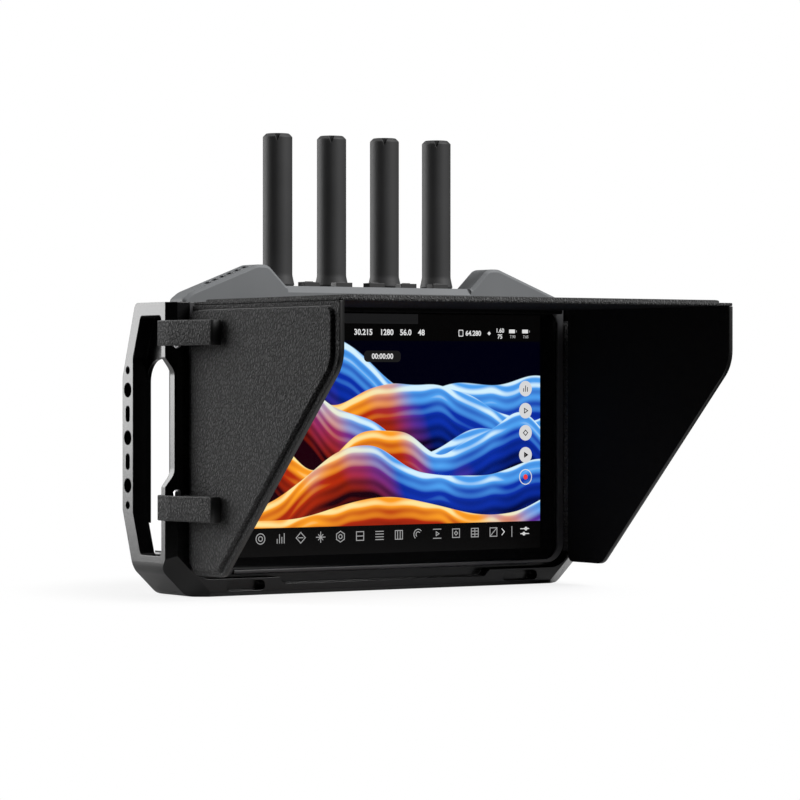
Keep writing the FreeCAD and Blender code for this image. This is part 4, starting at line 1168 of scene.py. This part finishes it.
ARROW_X, DIVIDER_X, SLIDERS_X = 58.3 * MM, 62.6 * MM, 69.0 * MM
bm = bmesh.new()
for i, strokes in enumerate(ICONS):
    for points in strokes:
        stroke(bm, points, ICON_FIRST + ICON_PITCH * i, ICON_Z, ICON_R)
stroke(bm, [(-0.3, 0.6), (0.3, 0), (-0.3, -0.6)], ARROW_X, ICON_Z, ICON_R, material=WHITE)
stroke(bm, [(0, -1), (0, 1)], DIVIDER_X, ICON_Z, ICON_R)
for z, handle in ((0.5, 0.3), (-0.5, -0.2)):
    stroke(bm, [(-1, z), (1, z)], SLIDERS_X, ICON_Z, ICON_R, material=WHITE)
    stroke(bm, ring_line(0.28, 10, 0.0, handle, z), SLIDERS_X, ICON_Z, ICON_R, material=WHITE)
finished("screen_icons", bm, INKS, "cage", "display")

# %% [markdown]
# ## Round keys
# Four pale discs of one size stand in a column, and a ring with a red dot stands under them. Copying a disc
# in a loop would do, but a Geometry Nodes row shows its count and its step as inputs that can be changed by
# hand.

# %% Row of copies
ROW_INPUTS = {
    "Piece": "NodeSocketObject",
    "Count": "NodeSocketInt",
    "First": "NodeSocketVector",
    "Step": "NodeSocketVector",
    "Finish": "NodeSocketMaterial",
}


def row_tree():
    """A Geometry Nodes tree that sets copies of a piece in a straight row."""
    tree = bpy.data.node_groups.new("row_of_copies", "GeometryNodeTree")
    for name, kind in ROW_INPUTS.items():
        tree.interface.new_socket(name=name, in_out="INPUT", socket_type=kind)
    tree.interface.new_socket(name="Geometry", in_out="OUTPUT", socket_type="NodeSocketGeometry")
    grow = Graph(tree)
    given = {name: grow.add("NodeGroupInput", out=name) for name in ROW_INPUTS}
    line = grow.add("GeometryNodeMeshLine", {"mode": "OFFSET"},
                    {"Count": given["Count"], "Start Location": given["First"], "Offset": given["Step"]})
    piece = grow.add("GeometryNodeObjectInfo", None, {"Object": given["Piece"]}, out="Geometry")
    copies = grow.add("GeometryNodeInstanceOnPoints", None, {"Points": line, "Instance": piece})
    real = grow.add("GeometryNodeRealizeInstances", None, {"Geometry": copies})
    done = grow.add("GeometryNodeSetMaterial", None, {"Geometry": real, "Material": given["Finish"]})
    grow.add("NodeGroupOutput", None, {"Geometry": done})
    return tree


ROW = row_tree()
print("row tree", len(ROW.nodes), "nodes")


# %% Making a row plain
def row_of(bm, piece_bm, count, first, step, finish):
    """Adds a row of copies to a mesh, worked out by the tree and then made plain."""
    mesh = bpy.data.meshes.new("row_piece")
    piece_bm.to_mesh(mesh)
    piece_bm.free()
    piece = bpy.data.objects.new("row_piece", mesh)
    holder = bpy.data.objects.new("row", bpy.data.meshes.new("row"))
    for made in (piece, holder):
        scene.collection.objects.link(made)
    grow = holder.modifiers.new("row", "NODES")
    grow.node_group = ROW
    sockets = {item.name: item.identifier for item in ROW.interface.items_tree if item.in_out == "INPUT"}
    for name, value in zip(ROW_INPUTS, (piece, count, first, step, finish)):
        grow[sockets[name]] = value
    bpy.context.view_layer.update()
    plain = bpy.data.meshes.new_from_object(holder.evaluated_get(bpy.context.evaluated_depsgraph_get()))
    holder.modifiers.remove(grow)
    bm.from_mesh(plain)
    for made in (holder, piece):
        bpy.data.objects.remove(made)


print("row helper ready")

# %% Round keys
KEY_X, KEY_TOP_Z = 69.4 * MM, 79.0 * MM
KEY_STEP = 8.93 * MM
KEY_R = 3.15 * MM
KEY_SIDES = 40
PALE_KEYS = 4
disc = bmesh.new()
film_plate(disc, ring_line(KEY_R, KEY_SIDES)[:-1], PLATE_LEVEL)
bm = bmesh.new()
row_of(bm, disc, PALE_KEYS, (KEY_X, 0, KEY_TOP_Z), (0, 0, -KEY_STEP), ink_key)
finished("screen_keys", bm, (ink_key,), "cage", "display")

# %% Marks on the keys
MARK_R = 1.2 * MM
DOT_R, DOT_SIDES = 1.05 * MM, 24
MARKS = (
    bars((0.5, 1.0, 0.7)),
    [ring_line(0.9, 3)],
    [ring_line(0.9, 4)],
    [ring_line(0.9, 3), ring_line(0.45, 3)],
)
bm = bmesh.new()
for i, strokes in enumerate(MARKS):
    for points in strokes:
        stroke(bm, points, KEY_X, KEY_TOP_Z - KEY_STEP * i, MARK_R, MARK_LEVEL, DARK)
record_z = KEY_TOP_Z - KEY_STEP * PALE_KEYS
stroke(bm, ring_line(1.0, KEY_SIDES), KEY_X, record_z, KEY_R - STROKE / 2, MARK_LEVEL, WHITE)
film_plate(bm, ring_line(DOT_R, DOT_SIDES, 0.0, KEY_X, record_z)[:-1], MARK_LEVEL, RED)
finished("screen_marks", bm, INKS, "cage", "display")
